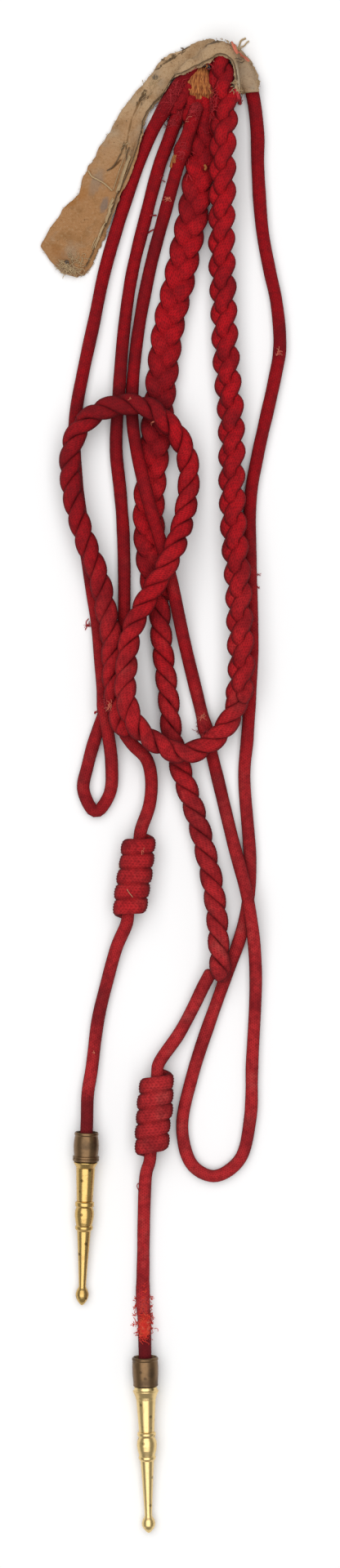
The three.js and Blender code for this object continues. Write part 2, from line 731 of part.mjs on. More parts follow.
function buildTab() {
  const heights = tabHeights();
  const holeTool = new THREE.CylinderGeometry(
    buttonhole.radius, buttonhole.radius, 6 * plyThickness, buttonhole.sides);
  holeTool.rotateX(Math.PI / 2);
  holeTool.translate(...buttonhole.at, 0);
  const hole = toManifold(holeTool);
  const underPly = toManifold(tabPlyGeometry(heights, 1, 5, 0));
  const topPly = toManifold(tabPlyGeometry(heights, 0, 4, plyThickness + plyGap));
  addMesh('tab_under_ply', fromManifold(underPly.subtract(hole)), colours.linen, clothFinish);
  addMesh('tab_top_ply', fromManifold(topPly.subtract(hole)), colours.linen, clothFinish);
}

buildTab();

export default group;
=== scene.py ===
import math

import bmesh
import bpy
import numpy as np
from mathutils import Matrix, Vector


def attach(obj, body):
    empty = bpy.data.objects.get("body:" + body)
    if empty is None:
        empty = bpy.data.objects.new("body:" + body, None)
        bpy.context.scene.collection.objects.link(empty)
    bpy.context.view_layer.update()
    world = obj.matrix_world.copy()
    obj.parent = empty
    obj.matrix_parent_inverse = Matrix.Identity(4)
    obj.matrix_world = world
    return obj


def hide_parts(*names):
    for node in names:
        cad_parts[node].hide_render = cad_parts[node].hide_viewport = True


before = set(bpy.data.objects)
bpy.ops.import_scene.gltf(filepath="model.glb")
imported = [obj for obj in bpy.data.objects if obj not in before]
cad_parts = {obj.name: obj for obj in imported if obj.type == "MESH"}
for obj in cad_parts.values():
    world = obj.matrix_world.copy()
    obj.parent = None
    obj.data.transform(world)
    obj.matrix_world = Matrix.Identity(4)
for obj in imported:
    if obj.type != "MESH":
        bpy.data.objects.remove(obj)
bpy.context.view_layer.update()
scene = bpy.context.scene
scene.view_settings.view_transform = "Standard"

# The camera looks straight down, with a long lens as for a catalogue picture
cameraSetup = {"centre": (0.0032, 0.0011), "seenLength": 0.768, "seenAt": 0.006, "lens": 100, "sensor": 36}


def makeCamera():
    data = bpy.data.cameras.new("camera")
    data.lens = cameraSetup["lens"]
    data.sensor_width = cameraSetup["sensor"]
    camera = bpy.data.objects.new("camera", data)
    distance = cameraSetup["seenLength"] * data.lens / data.sensor_width
    camera.location = (*cameraSetup["centre"], cameraSetup["seenAt"] + distance)
    scene.collection.objects.link(camera)
    scene.camera = camera


makeCamera()
print("camera placed")

# How the lines lie: each rests on the surface or on the lines laid before it
laying = {
    "fine": 40,             # points to each place of a route, from which the samples are taken
    "step": 0.0025,         # between the samples of a line
    "sampleReach": 0.6,     # of a sample along its line, in steps
    "rampPasses": 110,      # how far a cord takes to come down from what it crosses
    "clearance": 0.00055,
    "selfApart": 0.026,     # a line minds its own earlier samples only beyond this length
    "rounds": 4,
    "jointSamples": 3,      # of a tail, beside the end of its rope
    "knotLead": 0.004,      # how far a tail runs straight on above and below its knot
}
cordRadius = 0.0031
ropeShape = {"half": 0.005626, "pitch": 0.022, "stations": 6, "startAngle": -math.pi / 2}
frontPlaitShape = {"halfWidth": 0.00735, "halfHeight": 0.00673, "period": 0.035, "roll": math.radians(60)}
backPlaitShape = {"halfWidth": 0.0077, "halfHeight": 0.00554, "period": 0.033, "roll": 0}
plaitToRopeGap = 0.0008
knotShape = {"turns": 5, "pitch": 0.0075, "radius": 0.008732}
socketShape = {"length": 0.0144, "rim": 0.0065, "bead": 0.0014, "gap": 0.0008, "cordInside": 0.01105}
budShape = {"share": 0.925, "radius": 0.00325}
coreShape = {"width": 0.0104, "height": 0.005}

# The lines' routes seen from above
rightLoopRoute = [
    (.0388, .3515), (.0432, .3411), (.0460, .3211), (.0462, .3051), (.0484, .2731), (.0520, .2531),
    (.0554, .2371), (.0570, .2151), (.0546, .2003), (.0460, .1615), (.0426, .1403), (.0435, .0707),
    (.0424, .0439), (.0410, .0227), (.0396, .0055), (.0424, -.0361), (.0416, -.0549),
    (.0378, -.0733), (.0300, -.0949), (.0140, -.1425), (.0092, -.1685), (.0144, -.1861),
    (.0252, -.1912), (.0372, -.1833), (.0424, -.1637), (.0434, -.1373), (.0451, -.0893),
    (.0416, -.0573), (.0336, -.0253), (.0256, .0079), (.0176, .0403), (.0102, .0707),
    (.0020, .1079), (-.0088, .1447), (-.0152, .1795), (-.0136, .2131), (-.0070, .2519),
    (.0016, .2843), (.0080, .3067), (.0136, .3231), (.0160, .3310),
]
leftLoopRoute = [
    (.0096, .3371), (.0068, .3287), (.0024, .3163), (-.0018, .3051), (-.0088, .2787),
    (-.0153, .2519), (-.0192, .2251), (-.0218, .1931), (-.0232, .1655), (-.0212, .1447),
    (-.0197, .1239), (-.0192, .0931), (-.0200, .0691), (-.0240, .0471), (-.0316, .0291),
    (-.0372, .0099), (-.0392, -.0021), (-.0332, -.0125), (-.0264, -.0037), (-.0254, .0111),
    (-.0284, .0351), (-.0304, .0563), (-.0324, .0783), (-.0376, .1131), (-.0416, .1411),
    (-.0436, .1651), (-.0430, .1827), (-.0392, .2039), (-.0340, .2279), (-.0290, .2519),
    (-.0230, .2731), (-.0124, .3051), (-.0052, .3217), (.0016, .3333), (.0100, .3463),
    (.0140, .3515),
]
frontRopeRoute = [
    (-.0192, .0267), (-.0216, .0341), (-.0240, .0451), (-.0248, .0563), (-.0254, .0735),
    (-.0276, .0835), (-.0310, .1003), (-.0382, .1203), (-.0432, .1375), (-.0456, .1535),
    (-.0438, .1695), (-.0392, .1767), (-.0336, .1817), (-.0254, .1851), (-.0162, .1863),
    (-.0076, .1847), (.0000, .1791), (.0068, .1715), (.0116, .1603), (.0124, .1475), (.0098, .1303),
    (.0036, .1115), (-.0072, .0927), (-.0156, .0751), (-.0180, .0563), (-.0184, .0451),
    (-.0160, .0351), (-.0108, .0265), (-.0020, .0203), (.0100, .0159), (.0200, .0195),
    (.0280, .0263), (.0336, .0347),
]
frontPlaitRoute = [
    (.0368, .0443), (.0380, .0571), (.0376, .0707), (.0362, .1027), (.0344, .1239), (.0335, .1451),
    (.0332, .1771), (.0310, .2039), (.0293, .2371), (.0284, .2691), (.0288, .2951), (.0291, .3171),
    (.0300, .3319), (.0286, .3443), (.0272, .3555),
]
backRopeRoute = [
    (.0282, -.0929), (.0274, -.0837), (.0256, -.0589), (.0216, -.0361), (.0155, -.0133),
    (.0086, .0079), (.0046, .0227), (.0022, .0451), (-.0004, .0671), (-.0016, .0803),
]
backPlaitRoute = [
    (-.0022, .0939), (-.0052, .1071), (-.0072, .1291), (-.0064, .1491), (-.0036, .1731),
    (-.0006, .2019), (.0024, .2247), (.0071, .2455), (.0112, .2647), (.0148, .2831), (.0180, .3031),
    (.0196, .3171),
]
coreRoute = [(.0176, .3355), (.0182, .3423), (.0194, .3483), (.0204, .3531)]
leftTail = {
    "start": [(-.0187, .0253), (-.0148, .0201), (-.0084, .0135), (-.0060, .0043), (-.0068, -.0089)],
    "knotTop": (-.0116, -.0253),
    "knotBottom": (-.0174, -.0633),
    "middle": [(-.0228, -.0785), (-.0274, -.0949), (-.0320, -.1141), (-.0352, -.1389)],
    "tagTop": (-.0376, -.1693),
    "tagTip": (-.0400, -.2547),
    "tagLength": .0702,
    "startHeight": .0140,
}
rightTail = {
    "start": [(.0228, -.0918), (.0194, -.0982), (.0146, -.1083), (.0076, -.1213)],
    "knotTop": (-.0030, -.1405),
    "knotBottom": (-.0064, -.1797),
    "middle": [(-.0084, -.1890), (-.0092, -.1989), (-.0099, -.2309), (-.0100, -.2549)],
    "tagTop": (-.0090, -.2793),
    "tagTip": (-.0072, -.3668),
    "tagLength": .0723,
    "startHeight": .0080,
}

laid = []


def unit(vectors):
    return vectors / np.linalg.norm(vectors, axis=-1, keepdims=True)


def directionsOf(points):
    padded = np.vstack([points[:1], points, points[-1:]])
    return unit(padded[2:] - padded[:-2])


def lengthsOf(centres):
    return np.concatenate([[0], np.cumsum(np.linalg.norm(np.diff(centres, axis=0), axis=1))])


# Places from start to end as w goes from 0 to 1, with the directions at both ends given
def curveBetween(start, end, leave, arrive, w):
    return (start * (1 + 2 * w) * (1 - w)**2 + leave * w * (1 - w)**2
            + end * w**2 * (3 - 2 * w) + arrive * w**2 * (w - 1))


# A curve through all but the first and last of some points, at places t counted in points
def curveThrough(framed, t, slack=1.0):
    i = np.minimum(t.astype(int), len(framed) - 4)
    leave = (framed[i + 2] - framed[i]) / 2 * slack
    arrive = (framed[i + 3] - framed[i + 1]) / 2 * slack
    return curveBetween(framed[i + 1], framed[i + 2], leave, arrive, (t - i)[:, None])


# A centripetal spline through a route, in even steps
def evenPoints(route):
    knots = np.array(route, float)
    framed = np.vstack([2 * knots[0] - knots[1], knots, 2 * knots[-1] - knots[-2]])
    spans = np.sqrt(np.linalg.norm(np.diff(framed, axis=0), axis=1))

    def curveAt(t):
        i = np.minimum(t.astype(int), len(knots) - 2)
        w = (t - i)[:, None]
        p0, p1, p2, p3 = (framed[i + k] for k in range(4))
        d0, d1, d2 = (spans[i + k][:, None] for k in range(3))
        leave = ((p1 - p0) / d0 - (p2 - p0) / (d0 + d1) + (p2 - p1) / d1) * d1
        arrive = ((p2 - p1) / d1 - (p3 - p1) / (d1 + d2) + (p3 - p2) / d2) * d1
        return (p1 + leave * w + (3 * (p2 - p1) - 2 * leave - arrive) * w**2
                + (2 * (p1 - p2) + leave + arrive) * w**3)

    t = np.linspace(0, len(knots) - 1, laying["fine"] * len(knots) + 1)
    reached = lengthsOf(curveAt(t))
    count = int(math.floor(reached[-1] / laying["step"] + 0.5))
    return curveAt(np.interp(np.linspace(0, reached[-1], count + 1), reached, t))


def samplesOf(route, halfWidth=cordRadius, halfHeight=cordRadius):
    plan = evenPoints(route)
    count = len(plan)
    return {
        "plan": plan,
        "direction": directionsOf(plan),
        "z": np.zeros(count),
        "halfWidth": np.full(count, halfWidth),
        "halfHeight": np.full(count, halfHeight),
        "floor": np.full(count, halfHeight),
        "joint": np.zeros(count, bool),
    }


def partOf(samples, keep):
    return {key: value[keep] for key, value in samples.items()}


# The height that each sample above needs over each sample under it
def heightsOver(above, under):
    gap = above["plan"][:, None] - under["plan"][None]
    reach = above["halfWidth"][:, None] + under["halfWidth"] + laying["clearance"]
    across = np.linalg.norm(gap, axis=2) / reach
    along = np.abs(np.einsum("ijk,jk->ij", gap, under["direction"]))
    turned = np.abs(np.outer(above["direction"][:, 0], under["direction"][:, 1])
                    - np.outer(above["direction"][:, 1], under["direction"][:, 0]))
    near = laying["sampleReach"] * laying["step"] + above["halfWidth"][:, None] * turned
    meets = (across < 1) & (along <= near)
    stack = above["halfHeight"][:, None] + under["halfHeight"] + laying["clearance"]
    height = under["z"] + stack * np.sqrt(np.maximum(1 - across**2, 0))
    return np.where(meets, height, 0)


def ramped(needed):
    heights = needed.copy()
    for _ in range(laying["rampPasses"]):
        padded = np.concatenate([heights[:1], heights, heights[-1:]])
        heights = np.maximum(needed, (padded[:-2] + 2 * heights + padded[2:]) / 4)
    return heights


def settle(samples):
    onOthers = samples["floor"].copy()
    for other in laid:
        onOthers = np.maximum(onOthers, heightsOver(samples, other).max(axis=1))
    order = np.arange(len(onOthers))
    earlier = order[None] < order[:, None] - round(laying["selfApart"] / laying["step"])
    for _ in range(laying["rounds"]):
        onItself = np.where(earlier, heightsOver(samples, samples), 0).max(axis=1)
        samples["z"] = ramped(np.maximum(onOthers, onItself))
    laid.append(partOf(samples, ~samples["joint"]))


# A laid line that can be asked for its places and directions at any lengths
class LaidLine:
    def __init__(self, samples):
        self.points = np.column_stack([samples["plan"], samples["z"]])
        self.lengths = lengthsOf(self.points)
        self.length = self.lengths[-1]
        self.tangents = directionsOf(self.points)

    # A smooth curve through the samples, leaving each along its tangent
    def at(self, lengths):
        i = np.clip(np.searchsorted(self.lengths, lengths, side="right") - 1, 0, len(self.points) - 2)
        span = self.lengths[i + 1] - self.lengths[i]
        w = ((lengths - self.lengths[i]) / span)[:, None]
        leave, arrive = self.tangents[i] * span[:, None], self.tangents[i + 1] * span[:, None]
        centres = curveBetween(self.points[i], self.points[i + 1], leave, arrive, w)
        tangents = unit(self.tangents[i] * (1 - w) + self.tangents[i + 1] * w)
        sides = unit(np.column_stack([-tangents[:, 1], tangents[:, 0], np.zeros(len(tangents))]))
        return centres, tangents, sides, np.cross(tangents, sides)

    def lengthAt(self, place):
        return self.lengths[np.argmin(np.linalg.norm(self.points[:, :2] - place, axis=1))]


def layLine(route, halfWidth=cordRadius, halfHeight=cordRadius):
    samples = samplesOf(route, halfWidth, halfHeight)
    settle(samples)
    return LaidLine(samples)


# The axis of a tag dips from the socket's lower bead to the bud, both on the surface
def tagFrame(tail):
    (topX, topY), (tipX, tipY) = tail["tagTop"], tail["tagTip"]
    heading = math.atan2(tipY - topY, tipX - topX)
    beadToBud = socketShape["gap"] + socketShape["bead"] / 2 + tail["tagLength"] * budShape["share"]
    dip = math.asin((socketShape["rim"] - budShape["radius"]) / beadToBud)
    topToBead = socketShape["length"] - socketShape["bead"] / 2
    top = np.array([topX, topY, socketShape["rim"] / math.cos(dip) + topToBead * math.sin(dip)])
    return top, unit(np.array([math.cos(heading), math.sin(heading), -math.tan(dip)]))


# A tail is one cord: out of the rope, through its knot and into its socket
def layTail(tail):
    knotTop, knotBottom = np.array(tail["knotTop"]), np.array(tail["knotBottom"])
    beyond = unit(knotBottom - knotTop) * laying["knotLead"]
    top, along = tagFrame(tail)
    onAxis = [(top + along * far)[:2] for far in (-6 * cordRadius, -2 * cordRadius, 0,
                                                  socketShape["cordInside"])]
    samples = samplesOf([*tail["start"], knotTop - beyond, knotTop, knotBottom, knotBottom + beyond,
                         *tail["middle"], *onAxis])
    floor, joint = samples["floor"], laying["jointSamples"]
    floor[:joint - 1] = tail["startHeight"]
    samples["joint"][:joint] = True
    knotReach = knotShape["turns"] * knotShape["pitch"] / 2 + laying["step"]
    inKnot = np.linalg.norm(samples["plan"] - (knotTop + knotBottom) / 2, axis=1) < knotReach
    floor[inKnot] = knotShape["radius"]
    inSocket = (samples["plan"] - top[:2]) @ along[:2]
    held = inSocket > -laying["step"]
    floor[held] = (top[2] + along[2] * inSocket)[held]
    settle(samples)
    line = LaidLine(samples)
    return line, (line.lengthAt(knotTop) + line.lengthAt(knotBottom)) / 2


# A rope that becomes a plait is one line, from the rope's end to the plait's top
def layRopeAndPlait(ropeRoute, plaitRoute, plait):
    samples = samplesOf([*ropeRoute, *plaitRoute], ropeShape["half"], ropeShape["half"])
    near = np.linalg.norm(samples["plan"] - plaitRoute[0], axis=1) < laying["step"]
    first = int(np.argmax(near))
    for key in ("halfWidth", "halfHeight"):
        samples[key][first:] = plait[key]
    samples["floor"][first:] = plait["halfHeight"]
    settle(samples)
    line = LaidLine(samples)
    return line, line.lengthAt(plaitRoute[0])


rightLoop = samplesOf(rightLoopRoute)
loopBottom = int(np.argmax(rightLoop["direction"][:, 1] > 0))
downSide, upSide = partOf(rightLoop, slice(0, loopBottom)), partOf(rightLoop, slice(loopBottom, None))
settle(downSide)
layLine(coreRoute, coreShape["width"] / 2, coreShape["height"] / 2)
rightTailLine, rightKnotAt = layTail(rightTail)
backLine, backJoin = layRopeAndPlait(backRopeRoute, backPlaitRoute, backPlaitShape)
settle(upSide)
rightLoop["z"] = np.concatenate([downSide["z"], upSide["z"]])
rightLoopLine = LaidLine(rightLoop)
leftLoopLine = layLine(leftLoopRoute)
leftTailLine, leftKnotAt = layTail(leftTail)
frontLine, frontJoin = layRopeAndPlait(frontRopeRoute, frontPlaitRoute, frontPlaitShape)
print("lines laid")


# A hex colour as it is seen on a screen, turned into linear light
def linear(hexColour):
    shares = [int(hexColour[i:i + 2], 16) / 255 for i in (1, 3, 5)]
    return (*[s / 12.92 if s <= 0.04045 else ((s + 0.055) / 1.055) ** 2.4 for s in shares], 1)


# Adds a node; an input is a value or the output that feeds it
def addNode(tree, kind, inputs=None, **settings):
    node = tree.nodes.new("ShaderNode" + kind)
    for key, value in settings.items():
        setattr(node, key, value)
    for key, value in (inputs or {}).items():
        if isinstance(value, bpy.types.NodeSocket):
            tree.links.new(value, node.inputs[key])
        else:
            node.inputs[key].default_value = value
    return next(output for output in node.outputs if output.enabled)


# A material with plain values on its shader, and two places to draw patterns at: in the object,
# and in the cover, as the share of the way round it and the length along it
def newMaterial(name, values):
    material = bpy.data.materials.new(name)
    material.use_nodes = True
    tree = material.node_tree
    shader = tree.nodes["Principled BSDF"]
    for key, value in values.items():
        shader.inputs[key].default_value = value
    coordinates = addNode(tree, "TexCoord").node.outputs
    return material, tree, shader, coordinates["Object"], coordinates["UV"]


# Tints laid over the base colour one after another, as (share, hex colour), and the relief
def finishSurface(tree, shader, look, layers, relief):
    colour = linear(look["base"])
    for share, over in layers:
        colour = addNode(tree, "Mix", {0: share, 6: colour, 7: linear(over)}, data_type="RGBA")
    bump = addNode(tree, "Bump", {"Strength": look["bump"], "Distance": look["depth"], "Height": relief})
    tree.links.new(colour, shader.inputs["Base Color"])
    tree.links.new(bump, shader.inputs["Normal"])


# Soft spots with ragged rims: x, y, half width, half length, turn and strength of each
spotLook = {"raggedSize": 0.0015, "ragged": 0.7, "rim": (1.5, 0.9)}


def spotShares(tree, place, spots):
    noise = addNode(tree, "TexNoise", {"Vector": place, "Scale": 1 / spotLook["raggedSize"], "Detail": 3.0})
    outer, inner = spotLook["rim"]
    shares = []
    for x, y, width, length, turn, most in spots:
        moved = addNode(tree, "Mapping", {
            "Vector": place, "Location": (x, y, 0), "Rotation": (0, 0, turn), "Scale": (width, length, 1e3),
        }, vector_type="TEXTURE")
        far = addNode(tree, "VectorMath", {0: moved}, operation="LENGTH").node.outputs["Value"]
        ragged = addNode(tree, "Math", {0: noise, 1: spotLook["ragged"], 2: far}, operation="MULTIPLY_ADD")
        shares.append(addNode(tree, "MapRange", {0: ragged, 1: outer, 2: inner, 3: 0.0, 4: most},
                              interpolation_type="SMOOTHSTEP"))
    return shares


# Dyed wool yarn, braided into a cover round a soft core: slanting stitches in columns, matt and a
# little fuzzy, so that the eye sees soft grooves and a dusty bloom and no highlight. The grooves and
# the flanks carry painted shade in the deep tint.
# A real stitch is about 1 mm long; it is drawn 1.4 mm long, so that it shows.
woolLook = {
    "columns": 20,                  # of stitches, round the cord
    "pitch": 0.0014, "slope": 0.7,  # of a stitch
    "uneven": 1.2,                  # how far the stitches wander, in stitches
    "ridge": 0.22, "groove": 0.4, "nap": 0.75,
    "bump": 0.8, "depth": 0.0003, "roughness": 0.9, "specular": 0.15,
    "base": "#B2101A", "faded": "#B62B2E", "deep": "#560A12", "dusty": "#B8504A", "maroon": "#541016",
    "fadesDown": -3.2, "dustUnfaded": 0.12,
    # size of the patches in metres, and their detail
    "patches": {"uneven": (0.006, 3.0), "nap": (0.0006, 2.0), "fade": (0.03, 3.0), "dust": (0.011, 5.0),
                "stain": (0.017, 4.0), "mottle": (0.0024, 2.0)},
    # from which value to which a tint comes in, and how much of it
    "tints": {"faded": (-0.1, 1.0, 1.0), "lit": (0.56, 0.72, 0.35), "dusty": (0.5, 0.75, 0.4),
              "stained": (0.42, 0.7, 0.5), "mottled": (0.42, 0.64, 0.34), "paintedGrooveShade": (0.8, 0.25, 0.5),
              # painted shade on the flanks, which darken as the surface turns away from straight up
              "paintedFlankShade": (0.8, 0.12, 0.9)},
}
# Darker maroon spots: soil on the arch of the front rope, its left side and the left tail; painted
# shade on the covers under the tab; and darker where the cord ends go into the sockets and along the
# left loop's inner side
woolSoilAndShade = [
    (-.0180, .1850, .0300, .0120, 0.0, .55), (-.0440, .1600, .0120, .0260, 0.0, .4),
    (-.0375, -.1630, .0080, .0150, 0.0, .75), (-.0092, -.2745, .0080, .0110, 0.0, .85),
    (.0020, .3420, .0160, .0160, .6, .4), (-.0120, .2350, .0040, .0600, -.25, .35),
    (-.0400, .1250, .0100, .0300, 0.0, .3), (-.0310, -.0970, .0060, .0400, 0.0, .4),
]


def makeWool(name, look):
    material, tree, shader, place, along = newMaterial(
        name, {"Roughness": look["roughness"], "Specular IOR Level": look["specular"]})
    noise = {use: addNode(tree, "TexNoise", {"Vector": place, "Scale": 1 / size, "Detail": detail})
             for use, (size, detail) in look["patches"].items()}
    # Columns whose stitches slant to the left and right by turns
    cover = addNode(tree, "SeparateXYZ", {0: along}).node.outputs
    column = addNode(tree, "Math", {0: cover["X"], 1: look["columns"]}, operation="MULTIPLY")
    slant = addNode(tree, "Math", {0: column, 1: 1.0}, operation="PINGPONG")
    stitch = addNode(tree, "Math", {0: cover["Y"], 1: look["pitch"]}, operation="DIVIDE")
    for part, amount in ((slant, look["slope"]), (noise["uneven"], look["uneven"])):
        stitch = addNode(tree, "Math", {0: part, 1: amount, 2: stitch}, operation="MULTIPLY_ADD")
    # Each stitch is a ridge, a groove runs between the columns, and the nap lies over both
    sines = []
    for value, turn in ((stitch, 2 * math.pi), (column, math.pi)):
        angle = addNode(tree, "Math", {0: value, 1: turn}, operation="MULTIPLY")
        sines.append(addNode(tree, "Math", {0: angle}, operation="SINE"))
    groove = addNode(tree, "Math", {0: sines[1]}, operation="ABSOLUTE")
    relief = 0.0
    for part, amount in ((sines[0], look["ridge"]), (groove, look["groove"]), (noise["nap"], look["nap"])):
        relief = addNode(tree, "Math", {0: part, 1: amount, 2: relief}, operation="MULTIPLY_ADD")
    # The lower part is more faded and dusty than the part under the tab. The flanks get painted shade:
    # the colour darkens to the deep tint as the surface turns away from straight up.
    where = addNode(tree, "SeparateXYZ", {0: place}).node.outputs
    lowness = addNode(tree, "Math", {0: where["Y"], 1: look["fadesDown"], 2: noise["fade"]},
                      operation="MULTIPLY_ADD")
    normal = addNode(tree, "NewGeometry").node.outputs["Normal"]
    upward = addNode(tree, "SeparateXYZ", {0: normal}).node.outputs["Z"]
    values = {"faded": lowness, "lit": noise["nap"], "dusty": noise["dust"], "stained": noise["stain"],
              "mottled": noise["mottle"], "paintedGrooveShade": relief, "paintedFlankShade": upward}
    shares = {use: addNode(tree, "MapRange", {0: values[use], 1: low, 2: high, 3: 0.0, 4: most},
                           interpolation_type="SMOOTHSTEP")
              for use, (low, high, most) in look["tints"].items()}
    lowDust = addNode(tree, "Math", {0: shares["faded"], 1: look["dustUnfaded"]}, operation="ADD")
    dusty = addNode(tree, "Math", {0: shares["dusty"], 1: lowDust}, operation="MULTIPLY")
    layers = [(shares["faded"], look["faded"]), (shares["lit"], look["faded"]), (dusty, look["dusty"]),
              (shares["stained"], look["maroon"]), (shares["mottled"], look["deep"])]
    # Darker spots: soil, and painted shade under the tab
    layers += [(share, look["maroon"]) for share in spotShares(tree, place, woolSoilAndShade)]
    # Painted shade in the grooves of the relief and on the flanks, both in the deep tint
    layers += [(shares["paintedGrooveShade"], look["deep"]), (shares["paintedFlankShade"], look["deep"])]
    finishSurface(tree, shader, look, layers, relief)
    return material


# Brass, turned on a lathe and polished, then handled for years: soft highlights drawn out by fine
# turning lines, brown tarnish in clouds and a few dark pits.
# Real turning lines are about 0.1 mm apart; they are drawn 0.4 mm apart, so that they show.
brassLook = {
    "cloudSize": 0.006, "mottleSize": 0.0009, "pitSpacing": 1 / 190, "linePitch": 0.0004,
    "mottleRange": (0.5, 0.8, 0.3), "pitRange": (0.19, 0.1), "line": 0.12, "mottle": 0.5,
    "bump": 0.35, "depth": 0.00008, "metallic": 1.0,
}


def makeBrass(name, look):
    look = {**brassLook, **look}
    material, tree, shader, place, along = newMaterial(name, {"Metallic": look["metallic"]})
    cloudy, mottled = (
        addNode(tree, "TexNoise", {"Vector": place, "Scale": 1 / look[size], "Detail": detail})
        for size, detail in (("cloudSize", 5.0), ("mottleSize", 3.0)))
    cells = addNode(tree, "TexVoronoi", {"Vector": place, "Scale": 1 / look["pitSpacing"]})
    clouds, mottles, pits = (
        addNode(tree, "MapRange", {0: value, 1: low, 2: high, 3: 0.0, 4: most},
                interpolation_type="SMOOTHSTEP")
        for value, (low, high, most) in ((cloudy, look["cloudRange"]), (mottled, look["mottleRange"]),
                                         (cells, (*look["pitRange"], look["pits"]))))
    tarnish = addNode(tree, "Math", {0: clouds, 1: mottles}, operation="ADD")
    rough = addNode(tree, "MapRange", {0: tarnish, 3: look["rough"][0], 4: look["rough"][1]})
    tree.links.new(rough, shader.inputs["Roughness"])
    length = addNode(tree, "SeparateXYZ", {0: along}).node.outputs["Y"]
    angle = addNode(tree, "Math", {0: length, 1: 2 * math.pi / look["linePitch"]}, operation="MULTIPLY")
    relief = addNode(tree, "Math", {0: angle}, operation="SINE")
    relief = addNode(tree, "Math", {0: relief, 1: look["line"]}, operation="MULTIPLY")
    relief = addNode(tree, "Math", {0: mottled, 1: look["mottle"], 2: relief}, operation="MULTIPLY_ADD")
    finishSurface(tree, shader, look, [(tarnish, look["tarnish"]), (pits, look["pit"])], relief)
    return material


# Plain woven linen, unbleached, of uneven yarn: threads 0.6 mm apart with thick and thin places,
# matt and uneven, browned by hands and weather and soiled along its folds, with painted shade along
# the foot of the raised fold and in the hollows between the threads
linenLook = {
    "base": "#BB9C79", "warm": "#AA7B50", "grey": "#9C8C78", "edge": "#8A6238", "speck": "#4F3B27",
    "pitch": 0.0006, "weave": 0.25, "warmsDown": -14.0,
    "bump": 0.8, "depth": 0.0005, "roughness": 0.95, "specular": 0.2,
    # size of the patches in metres, and their detail
    "patches": {"slub": (0.0011, 4.0), "warm": (0.02, 3.0), "soil": (0.008, 6.0), "grey": (0.013, 4.0),
                "speck": (0.0016, 5.0)},
    # tint, from which value to which it comes in, and how much of it; the speck tint over the low
    # places of the weave is painted shade between the threads
    "tints": (("warm", "warm", -4.4, -3.6, 0.95), ("grey", "grey", 0.5, 0.72, 0.6),
              ("edge", "soil", 0.5, 0.72, 0.55), ("speck", "speck", 0.66, 0.74, 0.7),
              ("speck", "weave", 0.1, -0.8, 0.14), ("edge", "slub", 0.52, 0.68, 0.4),
              ("base", "slub", 0.46, 0.32, 0.3)),
}
linenStainsAndShade = [
    # x, y, half width, half length, turn, strength, colour
    (.0240, .3629, .0048, .0014, .08, .85, "#4E4032"), (-.0290, .2852, .0022, .0042, -.35, .6, "#6E6A68"),
    (-.0330, .2960, .0030, .0080, -.45, .35, "#7E7870"),
    (-.0560, .2800, .0035, .0150, -.55, .55, "#96602F"), (-.0440, .2890, .0100, .0040, .5, .45, "#A0672F"),
    (.0030, .3563, .0050, .0007, .55, .8, "#4A3B28"), (.0100, .3618, .0035, .0007, .35, .8, "#4A3B28"),
    (-.0040, .3478, .0020, .0014, .4, .8, "#5C5348"), (-.0098, .3392, .0030, .0009, .95, .8, "#54422C"),
    (-.0122, .3352, .0026, .0008, .95, .7, "#5E4A30"), (-.0200, .3130, .0040, .0006, 1.35, .7, "#5E4A30"),
    (-.0468, .2566, .0030, .0022, .3, .6, "#7A6040"), (-.0232, .3050, .0045, .0007, .75, .9, "#5F3F22"),
    (-.0075, .3160, .0015, .0110, -.55, .4, "#B0957A"),
    # thin brown lines along the foot of the raised fold: painted shadow of the fold
    (-.0126, .3339, .0006, .0080, -.438, .75, "#7A5A38"),
    (-.0164, .3237, .0006, .0045, -.207, .75, "#7A5A38"),
    (-.0180, .3147, .0006, .0060, -.153, .75, "#7A5A38"), (.0410, .3470, .0050, .0080, .2, .35, "#8E8478"),
    (.0362, .3460, .0012, .0075, .1, .65, "#CDBDA2"), (-.0500, .2600, .0090, .0030, -.9, .4, "#96602F"),
]


def makeLinen(name, look):
    material, tree, shader, place, along = newMaterial(
        name, {"Roughness": look["roughness"], "Specular IOR Level": look["specular"]})
    values = {use: addNode(tree, "TexNoise", {"Vector": place, "Scale": 1 / size, "Detail": detail})
              for use, (size, detail) in look["patches"].items()}
    # Warp and weft as two crossing waves
    cloth = addNode(tree, "SeparateXYZ", {0: along}).node.outputs
    weave = 0.0
    for axis in ("X", "Y"):
        angle = addNode(tree, "Math", {0: cloth[axis], 1: 2 * math.pi / look["pitch"]}, operation="MULTIPLY")
        wave = addNode(tree, "Math", {0: angle}, operation="SINE")
        weave = addNode(tree, "Math", {0: wave, 1: 0.5, 2: weave}, operation="MULTIPLY_ADD")
    values["weave"] = weave
    # The wide end is warmer and browner than the band
    height = addNode(tree, "SeparateXYZ", {0: place}).node.outputs["Y"]
    values["warm"] = addNode(tree, "Math", {0: height, 1: look["warmsDown"], 2: values["warm"]},
                             operation="MULTIPLY_ADD")
    layers = [(addNode(tree, "MapRange", {0: values[use], 1: low, 2: high, 3: 0.0, 4: most},
                       interpolation_type="SMOOTHSTEP"), look[tint])
              for tint, use, low, high, most in look["tints"]]
    # Stains, and the painted shadow lines along the fold
    shares = spotShares(tree, place, [stain[:6] for stain in linenStainsAndShade])
    layers += [(share, stain[6]) for share, stain in zip(shares, linenStainsAndShade)]
    relief = addNode(tree, "Math", {0: weave, 1: look["weave"], 2: values["slub"]}, operation="MULTIPLY_ADD")
    finishSurface(tree, shader, look, layers, relief)
    return material


